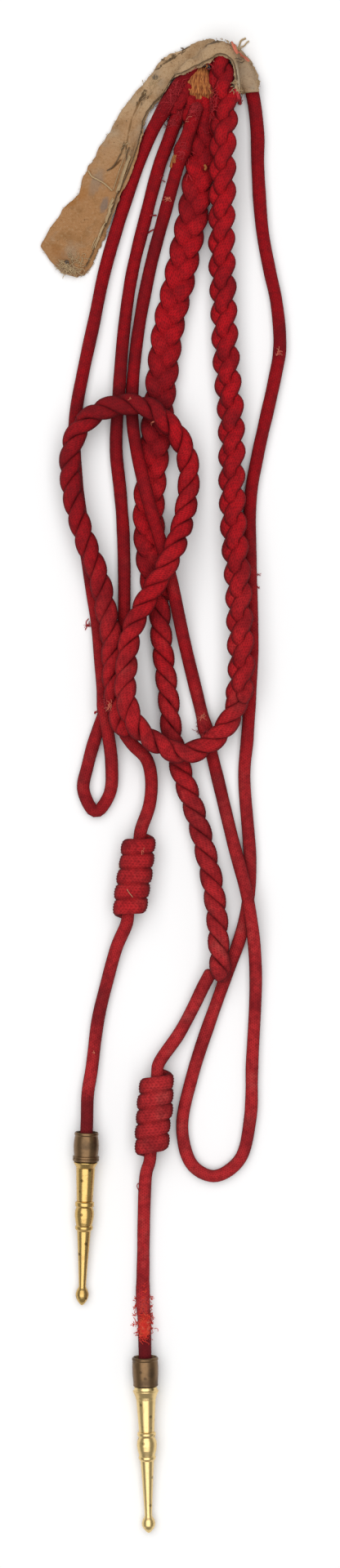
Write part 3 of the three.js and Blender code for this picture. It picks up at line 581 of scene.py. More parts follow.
# Soft spun yarn of wool, cotton or flax: fibres that run along it, matt, so that the eye sees fine
# streaks, worn paler in patches
yarnLook = {
    "streaksAround": 27, "streaksPerMetre": 270,    # streaks about 4 mm long, as fibres lie in a yarn
    "streaks": (0.35, 0.65, 1.0),
    "wornSize": 0.002, "wornRange": (0.45, 0.7, 0.5), "bump": 0.6, "depth": 0.0002, "roughness": 0.9,
}


def makeYarn(name, base, light, worn):
    look = {**yarnLook, "base": base}
    material, tree, shader, place, along = newMaterial(name, {"Roughness": look["roughness"]})
    stretched = addNode(tree, "Mapping", {
        "Vector": along, "Scale": (look["streaksAround"], look["streaksPerMetre"], 1.0)})
    fibre = addNode(tree, "TexNoise", {"Vector": stretched, "Scale": 1.0, "Detail": 4.0})
    rubbed = addNode(tree, "TexNoise", {"Vector": place, "Scale": 1 / look["wornSize"], "Detail": 3.0})
    layers = [(addNode(tree, "MapRange", {0: value, 1: low, 2: high, 3: 0.0, 4: most},
                       interpolation_type="SMOOTHSTEP"), tint)
              for value, (low, high, most), tint in ((fibre, look["streaks"], light),
                                                     (rubbed, look["wornRange"], worn))]
    finishSurface(tree, shader, look, layers, fibre)
    return material


wool = makeWool("braidedWool", woolLook)
# The plain cords keep a deeper red, and are round, so that their painted flank shade spreads wider
loopWool = makeWool("braidedWoolDeep", {
    **woolLook, "base": "#980A14", "tints": {**woolLook["tints"], "paintedFlankShade": (0.62, 0.0, 0.8)}})
# Broken wool fibres, untwisted: they stand up in soft red curls
woolEnds = makeYarn("frayedWool", "#7E0C16", "#BA1E28", "#C83038")
# The inside of the wool cover, which never faded: bright where it is rubbed open
brightEnds = makeYarn("brightWoolEnds", "#C01C1C", "#E63A26", "#F0603E")
# Wool fibres whose tips have lost their dye: pale and pinkish
paleEnds = makeYarn("paleWoolEnds", "#C25A48", "#E08A6A", "#D8504A")
# Spun cotton, undyed and browned with age, in thick soft yarns: the core of the cords
cotton = makeYarn("cottonYarn", "#6C2E10", "#BE7A3C", "#9E5222")
linen = makeLinen("wovenLinen", linenLook)
# Flax yarn, pulled out of the weave: pale and stiff
linenThread = makeYarn("linenThread", "#8E7350", "#D2B78E", "#B4946A")
# Flax yarn, dark with dirt, along worn edges; the same dark thread is laid as painted shadow along
# the step of the top ply and in the worn hole
darkThread = makeYarn("darkLinenThread", "#4A3826", "#7A6244", "#5C4832")
# The left tag: yellow brass with brown tarnish
polishedBrass = makeBrass("polishedBrass", {
    "base": "#CCAA68", "tarnish": "#906E3E", "pit": "#4A3418", "cloudRange": (0.5, 0.8, 0.6), "pits": 0.7,
    "rough": (0.26, 0.45),
})
# The right tag: the same brass, cleaner and paler
paleBrass = makeBrass("paleBrass", {
    "base": "#E4C88C", "tarnish": "#B8925A", "pit": "#5A4222", "cloudRange": (0.5, 0.85, 0.5), "pits": 0.6,
    "rough": (0.3, 0.48),
})
# The sockets: brass under a brown patina, which takes some of the metal's shine
darkBrass = makeBrass("darkBrass", {
    "base": "#7C6144", "tarnish": "#4E3F30", "pit": "#33261A", "cloudSize": 0.007,
    "cloudRange": (0.4, 0.7, 0.75), "pits": 0.5, "rough": (0.34, 0.5), "metallic": 0.9,
})
print("materials made")


# One mesh from several grids of points; a closed grid joins its last column to its first.
# uv holds one more column than a closed grid, so that the seam isn't smeared.
def skinPiece(name, skins, material, sharp=None):
    vertices, faces, corners = [], [], []
    base = 0
    for points, uv, closed in skins:
        rows, columns = points.shape[:2]
        last = columns if closed else columns - 1
        row, column = np.meshgrid(np.arange(rows - 1), np.arange(last), indexing="ij")
        row, column = row.ravel(), column.ravel()
        right = (column + 1) % columns
        faces.append(base + np.column_stack([row * columns + column, row * columns + right,
                                             (row + 1) * columns + right, (row + 1) * columns + column]))
        corners.append(np.stack([uv[row, column], uv[row, column + 1],
                                 uv[row + 1, column + 1], uv[row + 1, column]], axis=1))
        vertices.append(points.reshape(-1, 3))
        base += rows * columns
    mesh = bpy.data.meshes.new(name)
    mesh.from_pydata(np.vstack(vertices).tolist(), [], np.vstack(faces).tolist())
    layer = mesh.uv_layers.new(name="along")
    layer.data.foreach_set("uv", np.vstack(corners).astype(np.float32).ravel())
    mesh.polygons.foreach_set("use_smooth", [True] * len(mesh.polygons))
    if sharp:
        mesh.set_sharp_from_angle(angle=math.radians(sharp))
    mesh.materials.append(material)
    mesh.update()
    piece = bpy.data.objects.new(name, mesh)
    scene.collection.objects.link(piece)
    return piece


# A superellipse, wide across and thick outwards; more squareness gives flatter faces
def sectionOf(width, thickness, sides=18, squareness=2.0):
    angles = np.linspace(0, 2 * math.pi, sides, endpoint=False)
    power = 2 / squareness
    x = np.sign(np.cos(angles)) * np.abs(np.cos(angles)) ** power * width / 2
    y = np.sign(np.sin(angles)) * np.abs(np.sin(angles)) ** power * thickness / 2
    return np.column_stack([x, y])


# Slow change of a size along a line, seeded so that each run gives the same
def unevenness(lengths, amount, spacing, seed):
    random = np.random.default_rng(seed)
    knots = np.arange(lengths[0] - spacing, lengths[-1] + 2 * spacing, spacing)
    return 1 + amount * np.interp(lengths, knots, random.uniform(-1, 1, len(knots)))


# The rings of a rounded end, from its tip to the tube
capAngles = np.radians([89, 70, 45, 20])


# A tube along centres with rounded ends; outward is where a section's thickness points.
# The scale is a size for each centre, and the section is one for all centres or one for each.
def tubeSkin(centres, outward, section, scale=1.0, capDepth=0.7):
    tangents = directionsOf(centres)
    across = unit(np.cross(tangents, outward))
    out = np.cross(across, tangents)
    lengths = lengthsOf(centres)
    scale = np.broadcast_to(scale, len(centres))
    depth = np.abs(section).max() * capDepth
    last = len(centres) - 1
    caps = len(capAngles)
    index = np.concatenate([np.zeros(caps, int), np.arange(last + 1), np.full(caps, last)])
    shift = np.concatenate([-np.sin(capAngles) * depth, np.zeros(last + 1), np.sin(capAngles[::-1]) * depth])
    shrink = np.concatenate([np.cos(capAngles), np.ones(last + 1), np.cos(capAngles[::-1])]) * scale[index]
    middle = centres[index] + tangents[index] * (shift * scale[index])[:, None]
    spread = (section[index] if section.ndim == 3 else section[None]) * shrink[:, None, None]
    sideways, thick = spread[..., :1], spread[..., 1:]
    points = middle[:, None] + across[index][:, None] * sideways + out[index][:, None] * thick
    v = lengths[index] + shift
    u = np.linspace(0, 1, section.shape[-2] + 1)
    uv = np.stack(np.broadcast_arrays(u[None], v[:, None]), axis=2)
    return points, uv, True


def fitPiece(piece, slotName, *nodes):
    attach(piece, "root")
    if nodes:
        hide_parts(*nodes)
    return piece


def woolCord(name, node, centres, outward, section, scale, material=wool):
    piece = skinPiece(name, [tubeSkin(centres, outward, section, scale)], material)
    fitPiece(piece, "red_wool", node)


# Plain cords: fuller near the tab, where less of them is worn away
cordLook = {
    "spacing": 0.0016, "sides": 16, "uneven": 0.035, "unevenEvery": 0.009,
    "fuller": 0.1, "fullerFrom": 0.27, "fullerOver": 0.06,
    "swellUneven": 0.5, "swellEvery": 0.003,
    # x, y, share and reach of the places where the cover is rubbed open and stands up
    "swells": [(.0096, .3105, .28, .004), (.0030, .3350, .16, .009), (.0198, .0285, .18, .004),
               (-.0282, .0403, .20, .005), (-.0095, -.2520, .12, .010), (.0560, .2130, .05, .004)],
}


def plainCord(name, node, line, seed):
    lengths = np.linspace(0, line.length, int(line.length / cordLook["spacing"]) + 1)
    centres, _, _, ups = line.at(lengths)
    nearTab = np.clip((centres[:, 1] - cordLook["fullerFrom"]) / cordLook["fullerOver"], 0, 1)
    scale = unevenness(lengths, cordLook["uneven"], cordLook["unevenEvery"], seed)
    scale = scale + cordLook["fuller"] * nearTab
    swelling = unevenness(lengths, cordLook["swellUneven"], cordLook["swellEvery"], seed + 1)
    for x, y, share, reach in cordLook["swells"]:
        far = np.linalg.norm(centres[:, :2] - (x, y), axis=1)
        scale = scale + share * np.exp(-(far / reach) ** 2) * swelling
    section = sectionOf(2 * cordRadius, 2 * cordRadius, cordLook["sides"])
    woolCord(name, node, centres, ups, section, scale, loopWool)


plainCord("rightLoop", "right_loop_cord", rightLoopLine, 11)
plainCord("leftLoop", "left_loop_cord", leftLoopLine, 12)
plainCord("rightTail", "right_tail_cord", rightTailLine, 13)
plainCord("leftTail", "left_tail_cord", leftTailLine, 14)
print("plain cords made")

# Two strands twisted about each other and pressed flat where they meet
ropeLook = {
    "radius": 0.00275, "width": 0.0070, "thickness": 0.0054, "spacing": 0.0011, "sides": 20,
    "squareness": 2.1,
    "winds": 1.2,                           # how much longer a strand is than the rope
    "wander": 0.22, "wanderEvery": 0.02,    # of the twist, in radians and metres
    "uneven": 0.05, "unevenEvery": 0.012,
}


def ropeStrands(side, line, join, hand, seed):
    to = join - plaitToRopeGap / 2
    turns = round(to / ropeShape["pitch"] * ropeShape["stations"]) / ropeShape["stations"]
    lengths = np.linspace(0, to, int(to * ropeLook["winds"] / ropeLook["spacing"]) + 1)
    centres, _, sides, ups = line.at(lengths)
    wander = unevenness(lengths, ropeLook["wander"], ropeLook["wanderEvery"], seed) - 1
    section = sectionOf(ropeLook["width"], ropeLook["thickness"], ropeLook["sides"], ropeLook["squareness"])
    for strand in (0, 1):
        start = ropeShape["startAngle"] + math.pi * strand
        angle = start + hand * 2 * math.pi * turns * lengths / to + wander
        out = sides * np.cos(angle)[:, None] + ups * np.sin(angle)[:, None]
        path = centres + out * ropeLook["radius"]
        scale = unevenness(lengths, ropeLook["uneven"], ropeLook["unevenEvery"], seed + strand + 1)
        woolCord(f"{side}RopeStrand{strand + 1}", f"{side}_rope_strand_{strand + 1}", path, out, section,
                 scale)


ropeStrands("back", backLine, backJoin, -1, 21)
ropeStrands("front", frontLine, frontJoin, 1, 31)

# Three strands that cross by turns; the front plait is rolled over on its right edge
plaitLook = {
    "back": {"width": 0.0084, "thickness": 0.0056, "swing": 0.0037, "rise": 0.0024, "lean": 0.0},
    "front": {"width": 0.0076, "thickness": 0.0064, "swing": 0.0034, "rise": 0.0026, "lean": 0.25},
    "spacing": 0.0011, "sides": 24, "stations": 6,
    "winds": 1.25,                          # how much longer a strand is than the plait
    "standsHigher": 0.0005,                 # where a plait is rolled on its edge
    "wander": 0.06, "wanderEvery": 0.02,    # of the crossings, in radians and metres
    "uneven": 0.03, "unevenEvery": 0.012,
}


# Strands are pressed flat against each other: in the rolled plait their flat side faces out of it all
# round, while the braid of the cover keeps to the strand. In the flat plait it faces up.
def pressedSections(centres, outward, pressed, look):
    tangents = directionsOf(centres)
    across = unit(np.cross(tangents, outward))
    out = np.cross(across, tangents)
    facing = np.arctan2((pressed * out).sum(axis=1), (pressed * across).sum(axis=1))
    around = np.linspace(0, 2 * math.pi, plaitLook["sides"], endpoint=False)
    turned = around[None] - facing[:, None] + math.pi / 2
    radius = 1 / np.hypot(np.cos(turned) / (look["width"] / 2), np.sin(turned) / (look["thickness"] / 2))
    return np.stack([radius * np.cos(around), radius * np.sin(around)], axis=2)


def plaitStrands(side, line, join, plait, seed):
    look = plaitLook[side]
    start = join + plaitToRopeGap / 2
    reach = line.length - start
    stations = plaitLook["stations"]
    periods = round(reach / plait["period"] * stations) / stations
    lengths = np.linspace(start, line.length, int(reach * plaitLook["winds"] / plaitLook["spacing"]) + 1)
    centres, _, sides, ups = line.at(lengths)
    roll = plait["roll"]
    across = sides * math.cos(roll) - ups * math.sin(roll)
    upward = sides * math.sin(roll) + ups * math.cos(roll)
    centres = centres + ups * plaitLook["standsHigher"] * math.sin(roll)
    for strand in range(3):
        angle = 2 * math.pi * periods * (lengths - start) / reach + math.pi * (2 * strand / 3 + 1 / 6)
        wander = unevenness(lengths, plaitLook["wander"], plaitLook["wanderEvery"], seed + strand) - 1
        angle = (angle + wander)[:, None]
        path = centres + across * look["swing"] * np.sin(angle) + upward * look["rise"] * np.sin(2 * angle)
        facing = np.cos(angle) if look["lean"] else 1.0
        pressed = upward * facing + across * look["lean"] * np.sin(angle) ** 2
        section = pressedSections(path, upward, pressed, look)
        scale = unevenness(lengths, plaitLook["uneven"], plaitLook["unevenEvery"], seed + strand + 4)
        woolCord(f"{side}PlaitStrand{strand + 1}", f"{side}_plait_strand_{strand + 1}", path, upward, section,
                 scale)


plaitStrands("back", backLine, backJoin, backPlaitShape, 41)
plaitStrands("front", frontLine, frontJoin, frontPlaitShape, 51)
print("ropes and plaits made")

# Wound knots: five flattened turns whose ends are tucked in under the last ones. The cord is pressed
# so flat that its braid shows as ribs along each turn.
knotLook = {
    "width": 0.0078, "thickness": 0.0048, "sides": 48, "squareness": 2.4, "steps": 44,
    "radius": 0.00625, "radiusWander": 0.0003, "slimmerEnds": 0.09, "tuck": 0.0028,
    "slant": 0.0005, "aside": 0.0002, "drawnIn": 0.0006, "uneven": 0.06,
    "wanderEvery": 0.09, "unevenEvery": 0.05,   # shares of the knot
    "ribHeight": 0.00016, "ribWidth": 0.0013,
    "lift": 0.0058,     # of a thread on the knot, over the cord inside
}


def woundKnot(name, node, line, middleAt, seed):
    turns = knotShape["turns"]
    share = np.linspace(0, 1, turns * knotLook["steps"] + 1)
    angle = 2 * math.pi * turns * share - math.pi / 2
    # The turns slant a little, and the knot is slimmer towards its ends
    slant = knotLook["slant"] * np.sin(angle + seed) * np.sin(math.pi * share)
    span = turns * knotShape["pitch"] - knotLook["drawnIn"]
    centres, _, sides, ups = line.at(middleAt + (share - 0.5) * span + slant)
    wander = unevenness(share, 1, knotLook["wanderEvery"], seed) - 1
    barrel = 1 - knotLook["slimmerEnds"] * np.abs(2 * share - 1) ** 3
    # The ends dip towards the cord over the first and last third of a turn
    dip = np.clip(1 - np.minimum(share, 1 - share) * turns * 3, 0, 1) ** 1.5
    radius = knotLook["radius"] * barrel - knotLook["tuck"] * dip + knotLook["radiusWander"] * wander
    out = sides * np.cos(angle)[:, None] + ups * np.sin(angle)[:, None]
    path = centres + out * radius[:, None] + np.roll(sides, 1, axis=0) * knotLook["aside"]
    section = sectionOf(knotLook["width"], knotLook["thickness"], knotLook["sides"], knotLook["squareness"])
    section[:, 1] += knotLook["ribHeight"] * np.cos(section[:, 0] * 2 * math.pi / knotLook["ribWidth"])
    scale = unevenness(share, knotLook["uneven"], knotLook["unevenEvery"], seed + 1)
    fitPiece(skinPiece(name, [tubeSkin(path, out, section, scale)], wool), "red_wool", node)


woundKnot("rightKnot", "right_wound_knot", rightTailLine, rightKnotAt, 61)
woundKnot("leftKnot", "left_wound_knot", leftTailLine, leftKnotAt, 71)

# Profiles of the turned parts: millimetres along the axis from the socket's top, then radius
leftSocketProfile = [
    (9.5, 3.9), (1.2, 4.9), (0.3, 5.0), (0.0, 5.3), (0.0, 5.55), (0.3, 5.8), (0.9, 5.9), (1.4, 5.8),
    (1.7, 5.6), (2.2, 5.7), (4.0, 6.0), (6.5, 6.2), (9.0, 6.1), (11.0, 5.9), (11.5, 5.85), (11.7, 6.3),
    (12.1, 6.5), (12.6, 6.45), (12.8, 6.25), (13.0, 6.45), (13.5, 6.5), (14.0, 6.4), (14.3, 6.0),
    (14.35, 3.2),
]
rightSocketProfile = [
    (9.5, 3.9), (1.4, 5.1), (0.4, 5.35), (0.0, 5.6), (0.0, 5.9), (0.4, 6.3), (0.9, 6.5), (1.5, 6.35),
    (1.9, 6.15), (2.4, 6.3), (5.0, 6.4), (8.0, 6.35), (11.0, 6.15), (13.2, 6.0), (13.8, 6.15), (14.2, 6.0),
    (14.35, 3.2),
]
leftTagProfile = [
    (14.5, 3.0), (14.6, 5.5), (14.8, 5.85), (15.1, 5.9), (16.8, 4.9), (17.4, 4.62), (17.6, 4.45),
    (17.9, 4.65), (19.0, 4.6), (26.0, 4.3), (33.6, 3.95), (34.0, 3.8), (34.2, 4.3), (34.6, 4.65),
    (35.6, 4.68), (36.4, 4.6), (36.8, 4.25), (37.1, 4.05), (37.6, 4.25), (38.6, 4.6), (40.2, 4.72),
    (42.0, 4.6), (44.5, 4.2), (45.9, 3.85), (46.1, 4.05), (46.4, 4.35), (47.2, 4.38), (47.9, 4.2),
    (48.3, 3.7), (48.7, 3.35), (49.6, 3.3), (55.0, 2.95), (62.0, 2.5), (69.0, 2.1), (74.0, 1.85),
    (76.0, 1.75), (76.8, 2.0), (78.0, 2.75), (79.6, 3.2), (80.6, 3.2), (82.0, 2.85), (83.6, 2.0),
    (84.8, 1.0), (85.3, 0.35), (85.4, 0.0),
]
rightTagProfile = [
    (14.5, 3.0), (14.7, 5.4), (15.6, 5.6), (16.2, 5.75), (16.6, 6.25), (17.0, 6.28), (17.3, 6.1),
    (19.4, 5.2), (20.8, 4.9), (21.0, 4.7), (21.4, 4.72), (28.0, 4.3), (36.4, 3.78), (36.9, 3.7),
    (37.1, 4.2), (37.5, 4.52), (38.6, 4.5), (39.2, 4.2), (39.6, 3.95), (40.2, 4.2), (41.6, 4.75),
    (43.6, 4.88), (46.0, 4.6), (48.2, 4.0), (48.8, 3.85), (49.0, 4.05), (49.3, 4.22), (50.2, 4.2),
    (50.8, 3.8), (51.3, 3.3), (52.2, 3.25), (60.0, 2.75), (68.0, 2.3), (76.5, 1.86), (78.3, 1.8),
    (79.2, 2.1), (80.4, 2.85), (82.0, 3.28), (83.4, 3.2), (84.8, 2.5), (86.2, 1.3), (86.9, 0.5),
    (87.05, 0.0),
]


# A turned part about a tag's axis, with points every 0.5 mm, so that the polish curves softly
turnedLook = {"sides": 56, "spacing": 0.0005, "sharpFrom": 38}


def turnedPiece(name, node, tail, profile, slotName, material):
    top, along = tagFrame(tail)
    across = unit(np.cross(along, (0, 0, 1.0)))
    up = np.cross(across, along)
    outline = np.array(profile) / 1000
    reached = lengthsOf(outline)
    fine = np.unique(np.concatenate([np.arange(0, reached[-1], turnedLook["spacing"]), reached]))
    far, radius = (np.interp(fine, reached, outline[:, k]) for k in (0, 1))
    around = np.linspace(0, 2 * math.pi, turnedLook["sides"], endpoint=False)
    ring = across * np.cos(around)[:, None] + up * np.sin(around)[:, None]
    points = top + along * far[:, None, None] + ring[None] * radius[:, None, None]
    u = np.linspace(0, 1, turnedLook["sides"] + 1)
    uv = np.stack(np.broadcast_arrays(u[None], fine[:, None]), axis=2)
    fitPiece(skinPiece(name, [(points, uv, True)], material, turnedLook["sharpFrom"]), slotName, node)


turnedPiece("leftSocket", "left_tag_socket", leftTail, leftSocketProfile, "dark_brass", darkBrass)
turnedPiece("rightSocket", "right_tag_socket", rightTail, rightSocketProfile, "dark_brass", darkBrass)
turnedPiece("leftTag", "left_brass_tag", leftTail, leftTagProfile, "polished_brass", polishedBrass)
turnedPiece("rightTag", "right_brass_tag", rightTail, rightTagProfile, "polished_brass", paleBrass)
print("knots and tags made")

# The band of linen: its outer and inner edge from the flap at the right to the wide end
tabSections = [
    ((.0464, .3399), (.0356, .3387)), ((.0468, .3451), (.0348, .3431)), ((.0452, .3519), (.0344, .3479)),
    ((.0411, .3579), (.0332, .3527)), ((.0348, .3641), (.0296, .3553)), ((.0282, .3647), (.0260, .3555)),
    ((.0215, .3668), (.0227, .3527)), ((.0132, .3635), (.0164, .3507)), ((.0060, .3601), (.0096, .3471)),
    ((.0000, .3571), (.0048, .3459)), ((-.0052, .3507), (.0004, .3387)), ((-.0100, .3443), (-.0048, .3335)),
    ((-.0164, .3367), (-.0092, .3259)), ((-.0220, .3291), (-.0100, .3187)),
    ((-.0280, .3187), (-.0132, .3071)), ((-.0336, .3095), (-.0174, .2963)),
    ((-.0388, .2999), (-.0214, .2883)), ((-.0421, .2899), (-.0250, .2787)),
    ((-.0484, .2847), (-.0278, .2719)), ((-.0552, .2739), (-.0309, .2651)),
    ((-.0596, .2653), (-.0340, .2579)), ((-.0560, .2587), (-.0378, .2519)),
    ((-.0500, .2519), (-.0428, .2499)),
]
tabLook = {
    "rows": 230, "columns": 30, "thickness": 0.0009, "gap": 0.0002, "flat": (0.18, 0.02),
    "underFrom": 0.1, "edgeShow": 0.9,      # shares of the width where the under ply starts, the top ply ends
    "reach": 0.0012, "clear": 0.0004, "passes": 26,     # how the plies lie over the cords
    "wear": 0.0005, "wearEvery": (0.012, 0.005), "rimWidth": 0.0012, "rimShare": 0.25, "endShare": 0.15,
    "closer": 0.15,     # how much closer the columns stand along the edges
    # height, size and seed of the crumples
    "crumples": ((0.0006, 0.012, 0), (0.00045, 0.0045, 9)), "lowest": -0.00035,
    # the fold that stands up along the middle stretch of the inner edge
    "foldHeight": 0.0013, "foldMiddle": 0.56, "foldReach": 0.13, "foldFrom": 0.52, "foldSoft": 0.025,
    "hole": (-.0474, .2570), "holeRadius": 0.0011,
}


# The height of everything laid so far at each place
def topAt(places, reach=0.0):
    top = np.zeros(len(places))
    for other in laid:
        gap = np.linalg.norm(places[:, None] - other["plan"][None], axis=2)
        across = gap / (other["halfWidth"] + reach)
        height = other["z"] + other["halfHeight"] * np.sqrt(np.maximum(1 - across ** 2, 0))
        top = np.maximum(top, np.where(across < 1, height, 0).max(axis=1))
    return top


waveLook = {"sines": 7, "sizes": (0.6, 1.7)}


# Slow waves over the cloth from a few sines, seeded
def waves(x, y, size, seed):
    random = np.random.default_rng(seed)
    total = np.zeros_like(x)
    for _ in range(waveLook["sines"]):
        turn, phase = random.uniform(0, 2 * math.pi, 2)
        wave = 2 * math.pi / (size * random.uniform(*waveLook["sizes"]))
        total += np.sin((x * math.cos(turn) + y * math.sin(turn)) * wave + phase)
    return total / waveLook["sines"]


def tabEdge(which, rows):
    points = np.array([section[which] for section in tabSections])
    framed = np.vstack([points[:1], points, points[-1:]])
    return curveThrough(framed, np.linspace(0, len(points) - 1, rows), 0.8)


tabRows = tabLook["rows"]
outerEdge, innerEdge = tabEdge(0, tabRows), tabEdge(1, tabRows)
tabShares = np.linspace(0, 1, 2 * tabLook["columns"])
tabPlan = outerEdge[:, None] * (1 - tabShares[None, :, None]) + innerEdge[:, None] * tabShares[None, :, None]
tabNeeded = topAt(tabPlan.reshape(-1, 2), tabLook["reach"]).reshape(tabPlan.shape[:2]) + tabLook["clear"]
tabBase = tabNeeded.copy()
for _ in range(tabLook["passes"]):
    rolled = np.pad(tabBase, 1, mode="edge")
    tabBase = np.maximum(tabNeeded, (rolled[:-2, 1:-1] + rolled[2:, 1:-1] + rolled[1:-1, :-2]
                                     + rolled[1:-1, 2:] + 4 * tabBase) / 8)


def tabHeightAt(rowShare, share):
    row = np.clip(rowShare * (tabRows - 1), 0, tabRows - 1).astype(int)
    column = np.clip(share * (len(tabShares) - 1), 0, len(tabShares) - 1).astype(int)
    return tabBase[row, column]


# A ply of the band from one share of its width to another, closed round its edges
def tabPly(name, node, fromShare, toShare, lift, seed):
    columns = tabLook["columns"]
    rowShare = np.linspace(0, 1, tabRows)
    # Worn edges waver in and out by up to half a millimetre
    coarse, fine = tabLook["wearEvery"]
    wear = [unevenness(rowShare, 1, coarse, seed + k) + unevenness(rowShare, 0.5, fine, seed + k + 2) - 2
            for k in (0, 1)]
    width = np.linalg.norm(outerEdge - innerEdge, axis=1)
    starts = fromShare - wear[0] * tabLook["wear"] / width
    ends = toShare + wear[1] * tabLook["wear"] / width
    # The columns stand a little closer along the edges
    even, closer = np.linspace(0, 1, columns), tabLook["closer"]
    inside = (1 - np.cos(even * math.pi)) / 2 * closer + even * (1 - closer)
    share = starts[:, None] + (ends - starts)[:, None] * inside[None]
    plan = outerEdge[:, None] * (1 - share[..., None]) + innerEdge[:, None] * share[..., None]
    height = tabHeightAt(rowShare[:, None], np.clip(share, 0, 1)) + lift
    crumple = sum(high * waves(plan[..., 0], plan[..., 1], size, seed + more)
                  for high, size, more in tabLook["crumples"])
    folded = np.exp(-((rowShare - tabLook["foldMiddle"]) / tabLook["foldReach"]) ** 4)[:, None]
    fold = tabLook["foldHeight"] * folded / (1 + np.exp(-(share - tabLook["foldFrom"]) / tabLook["foldSoft"]))
    edge = np.minimum(inside, 1 - inside)[None] * width[:, None]
    thin = np.clip(edge / tabLook["rimWidth"], tabLook["rimShare"], 1) ** 0.5
    middle = height + tabLook["thickness"] / 2 + np.maximum(crumple, tabLook["lowest"]) + fold
    half = tabLook["thickness"] / 2 * thin
    ring = np.concatenate([np.dstack([plan, middle + half]), np.dstack([plan, middle - half])[:, ::-1]],
                          axis=1)
    u = share * width[:, None]
    around = np.concatenate([u, u[:, ::-1], u[:, :1]], axis=1)
    uv = np.stack(np.broadcast_arrays(around, lengthsOf((outerEdge + innerEdge) / 2)[:, None]), axis=2)
    # The two ends of the band are drawn in, so that they close
    for end in (0, -1):
        level = ring[end, :, 2].mean()
        ring[end, :, 2] = level + (ring[end, :, 2] - level) * tabLook["endShare"]
    piece = skinPiece(name, [(ring, uv, True)], linen)
    cutHole(piece.data)
    fitPiece(piece, "linen", node)
    return piece


# The worn hole: faces inside it go, and its rim is rounded
def cutHole(mesh):
    centre, radius = Vector((*tabLook["hole"], 0)), tabLook["holeRadius"]
    work = bmesh.new()
    work.from_mesh(mesh)
    for vertex in work.verts:
        vertex.tag = (vertex.co.xy - centre.xy).length < radius
    bmesh.ops.delete(work, geom=[face for face in work.faces if any(v.tag for v in face.verts)],
                     context="FACES")
    rim = [edge for edge in work.edges if edge.is_boundary
           and (edge.verts[0].co.xy - centre.xy).length < 3 * radius]
    for vertex in {vertex for edge in rim for vertex in edge.verts}:
        away = vertex.co.xy - centre.xy
        vertex.co.xy = centre.xy + away.normalized() * radius
    bmesh.ops.bridge_loops(work, edges=rim)
    bmesh.ops.recalc_face_normals(work, faces=work.faces)
    work.to_mesh(mesh)
    work.free()


tabPly("tabUnderPly", "tab_under_ply", tabLook["underFrom"], 1.0, 0.0, 81)
topLift = tabLook["thickness"] + tabLook["gap"]
topPly = tabPly("tabTopPly", "tab_top_ply", 0.0, tabLook["edgeShow"], topLift, 91)
tabTop = np.array([vertex.co[:] for vertex in topPly.data.vertices])
print("linen tab made")

threadLook = {"sides": 5, "pointsPerPlace": 4, "settles": 3, "reach": 0.0012}


# The top of the tab near each place, or of the cords where there is no tab
def surfaceAt(plan):
    gap = np.linalg.norm(plan[:, None] - tabTop[None, :, :2], axis=2)
    near = np.where(gap < threadLook["reach"], tabTop[None, :, 2], 0).max(axis=1)
    return np.maximum(near, topAt(plan))


# Threads: each is a list of places seen from above, a lift over what lies under it and a radius
def threadSkins(threads, onTab=False):
    skins = []
    for points, lift, radius in threads:
        knots = np.array(points, float)
        framed = np.vstack([2 * knots[0] - knots[1], knots, 2 * knots[-1] - knots[-2]])
        last = len(knots) - 1
        plan = curveThrough(framed, np.linspace(0, last, threadLook["pointsPerPlace"] * last + 1))
        level = surfaceAt(plan) if onTab else topAt(plan)
        for _ in range(threadLook["settles"]):
            level = np.maximum(level, np.convolve(np.pad(level, 1, mode="edge"), (0.25, 0.5, 0.25), "valid"))
        centres = np.column_stack([plan, np.maximum(level + lift, 0) + radius])
        section = sectionOf(2 * radius, 2 * radius, threadLook["sides"])
        skins.append(tubeSkin(centres, np.array([0, 0, 1.0]), section))
    return skins


# Fibres that curl away from a place: a row of steps whose heading wanders
def curl(random, start, heading, length, bend, steps=5):
    headings = heading + np.cumsum(random.normal(0, bend, steps))
    moves = np.column_stack([np.cos(headings), np.sin(headings)]) * length / steps
    return np.vstack([[start], start + np.cumsum(moves, axis=0)])


# How much the threads of a tuft differ in length, lift and radius
tuftLook = {"lengths": (0.4, 1.3), "lifts": (0.2, 2.5), "radii": (0.7, 1.2)}


# The threads of a tuft, at each of its places: x, y and reach
def tuftThreads(seed, count, length, radius, heading, spread, lift, bend, *places):
    random = np.random.default_rng(seed)
    threads = []
    for x, y, reach in places:
        for _ in range(count):
            start = (x, y) + random.normal(0, reach, 2)
            leaning = heading + random.normal(0, spread)
            path = curl(random, start, leaning, length * random.uniform(*tuftLook["lengths"]), bend)
            height = lift * random.uniform(*tuftLook["lifts"])
            threads.append((path, height, radius * random.uniform(*tuftLook["radii"])))
    return threads


def threadPiece(name, look, material, slotName, onTab=False):
    threads = [thread for tuft in look.get("tufts", ()) for thread in tuftThreads(*tuft)]
    skins = threadSkins(threads + look.get("threads", []), onTab)
    fitPiece(skinPiece(name, skins, material), slotName)


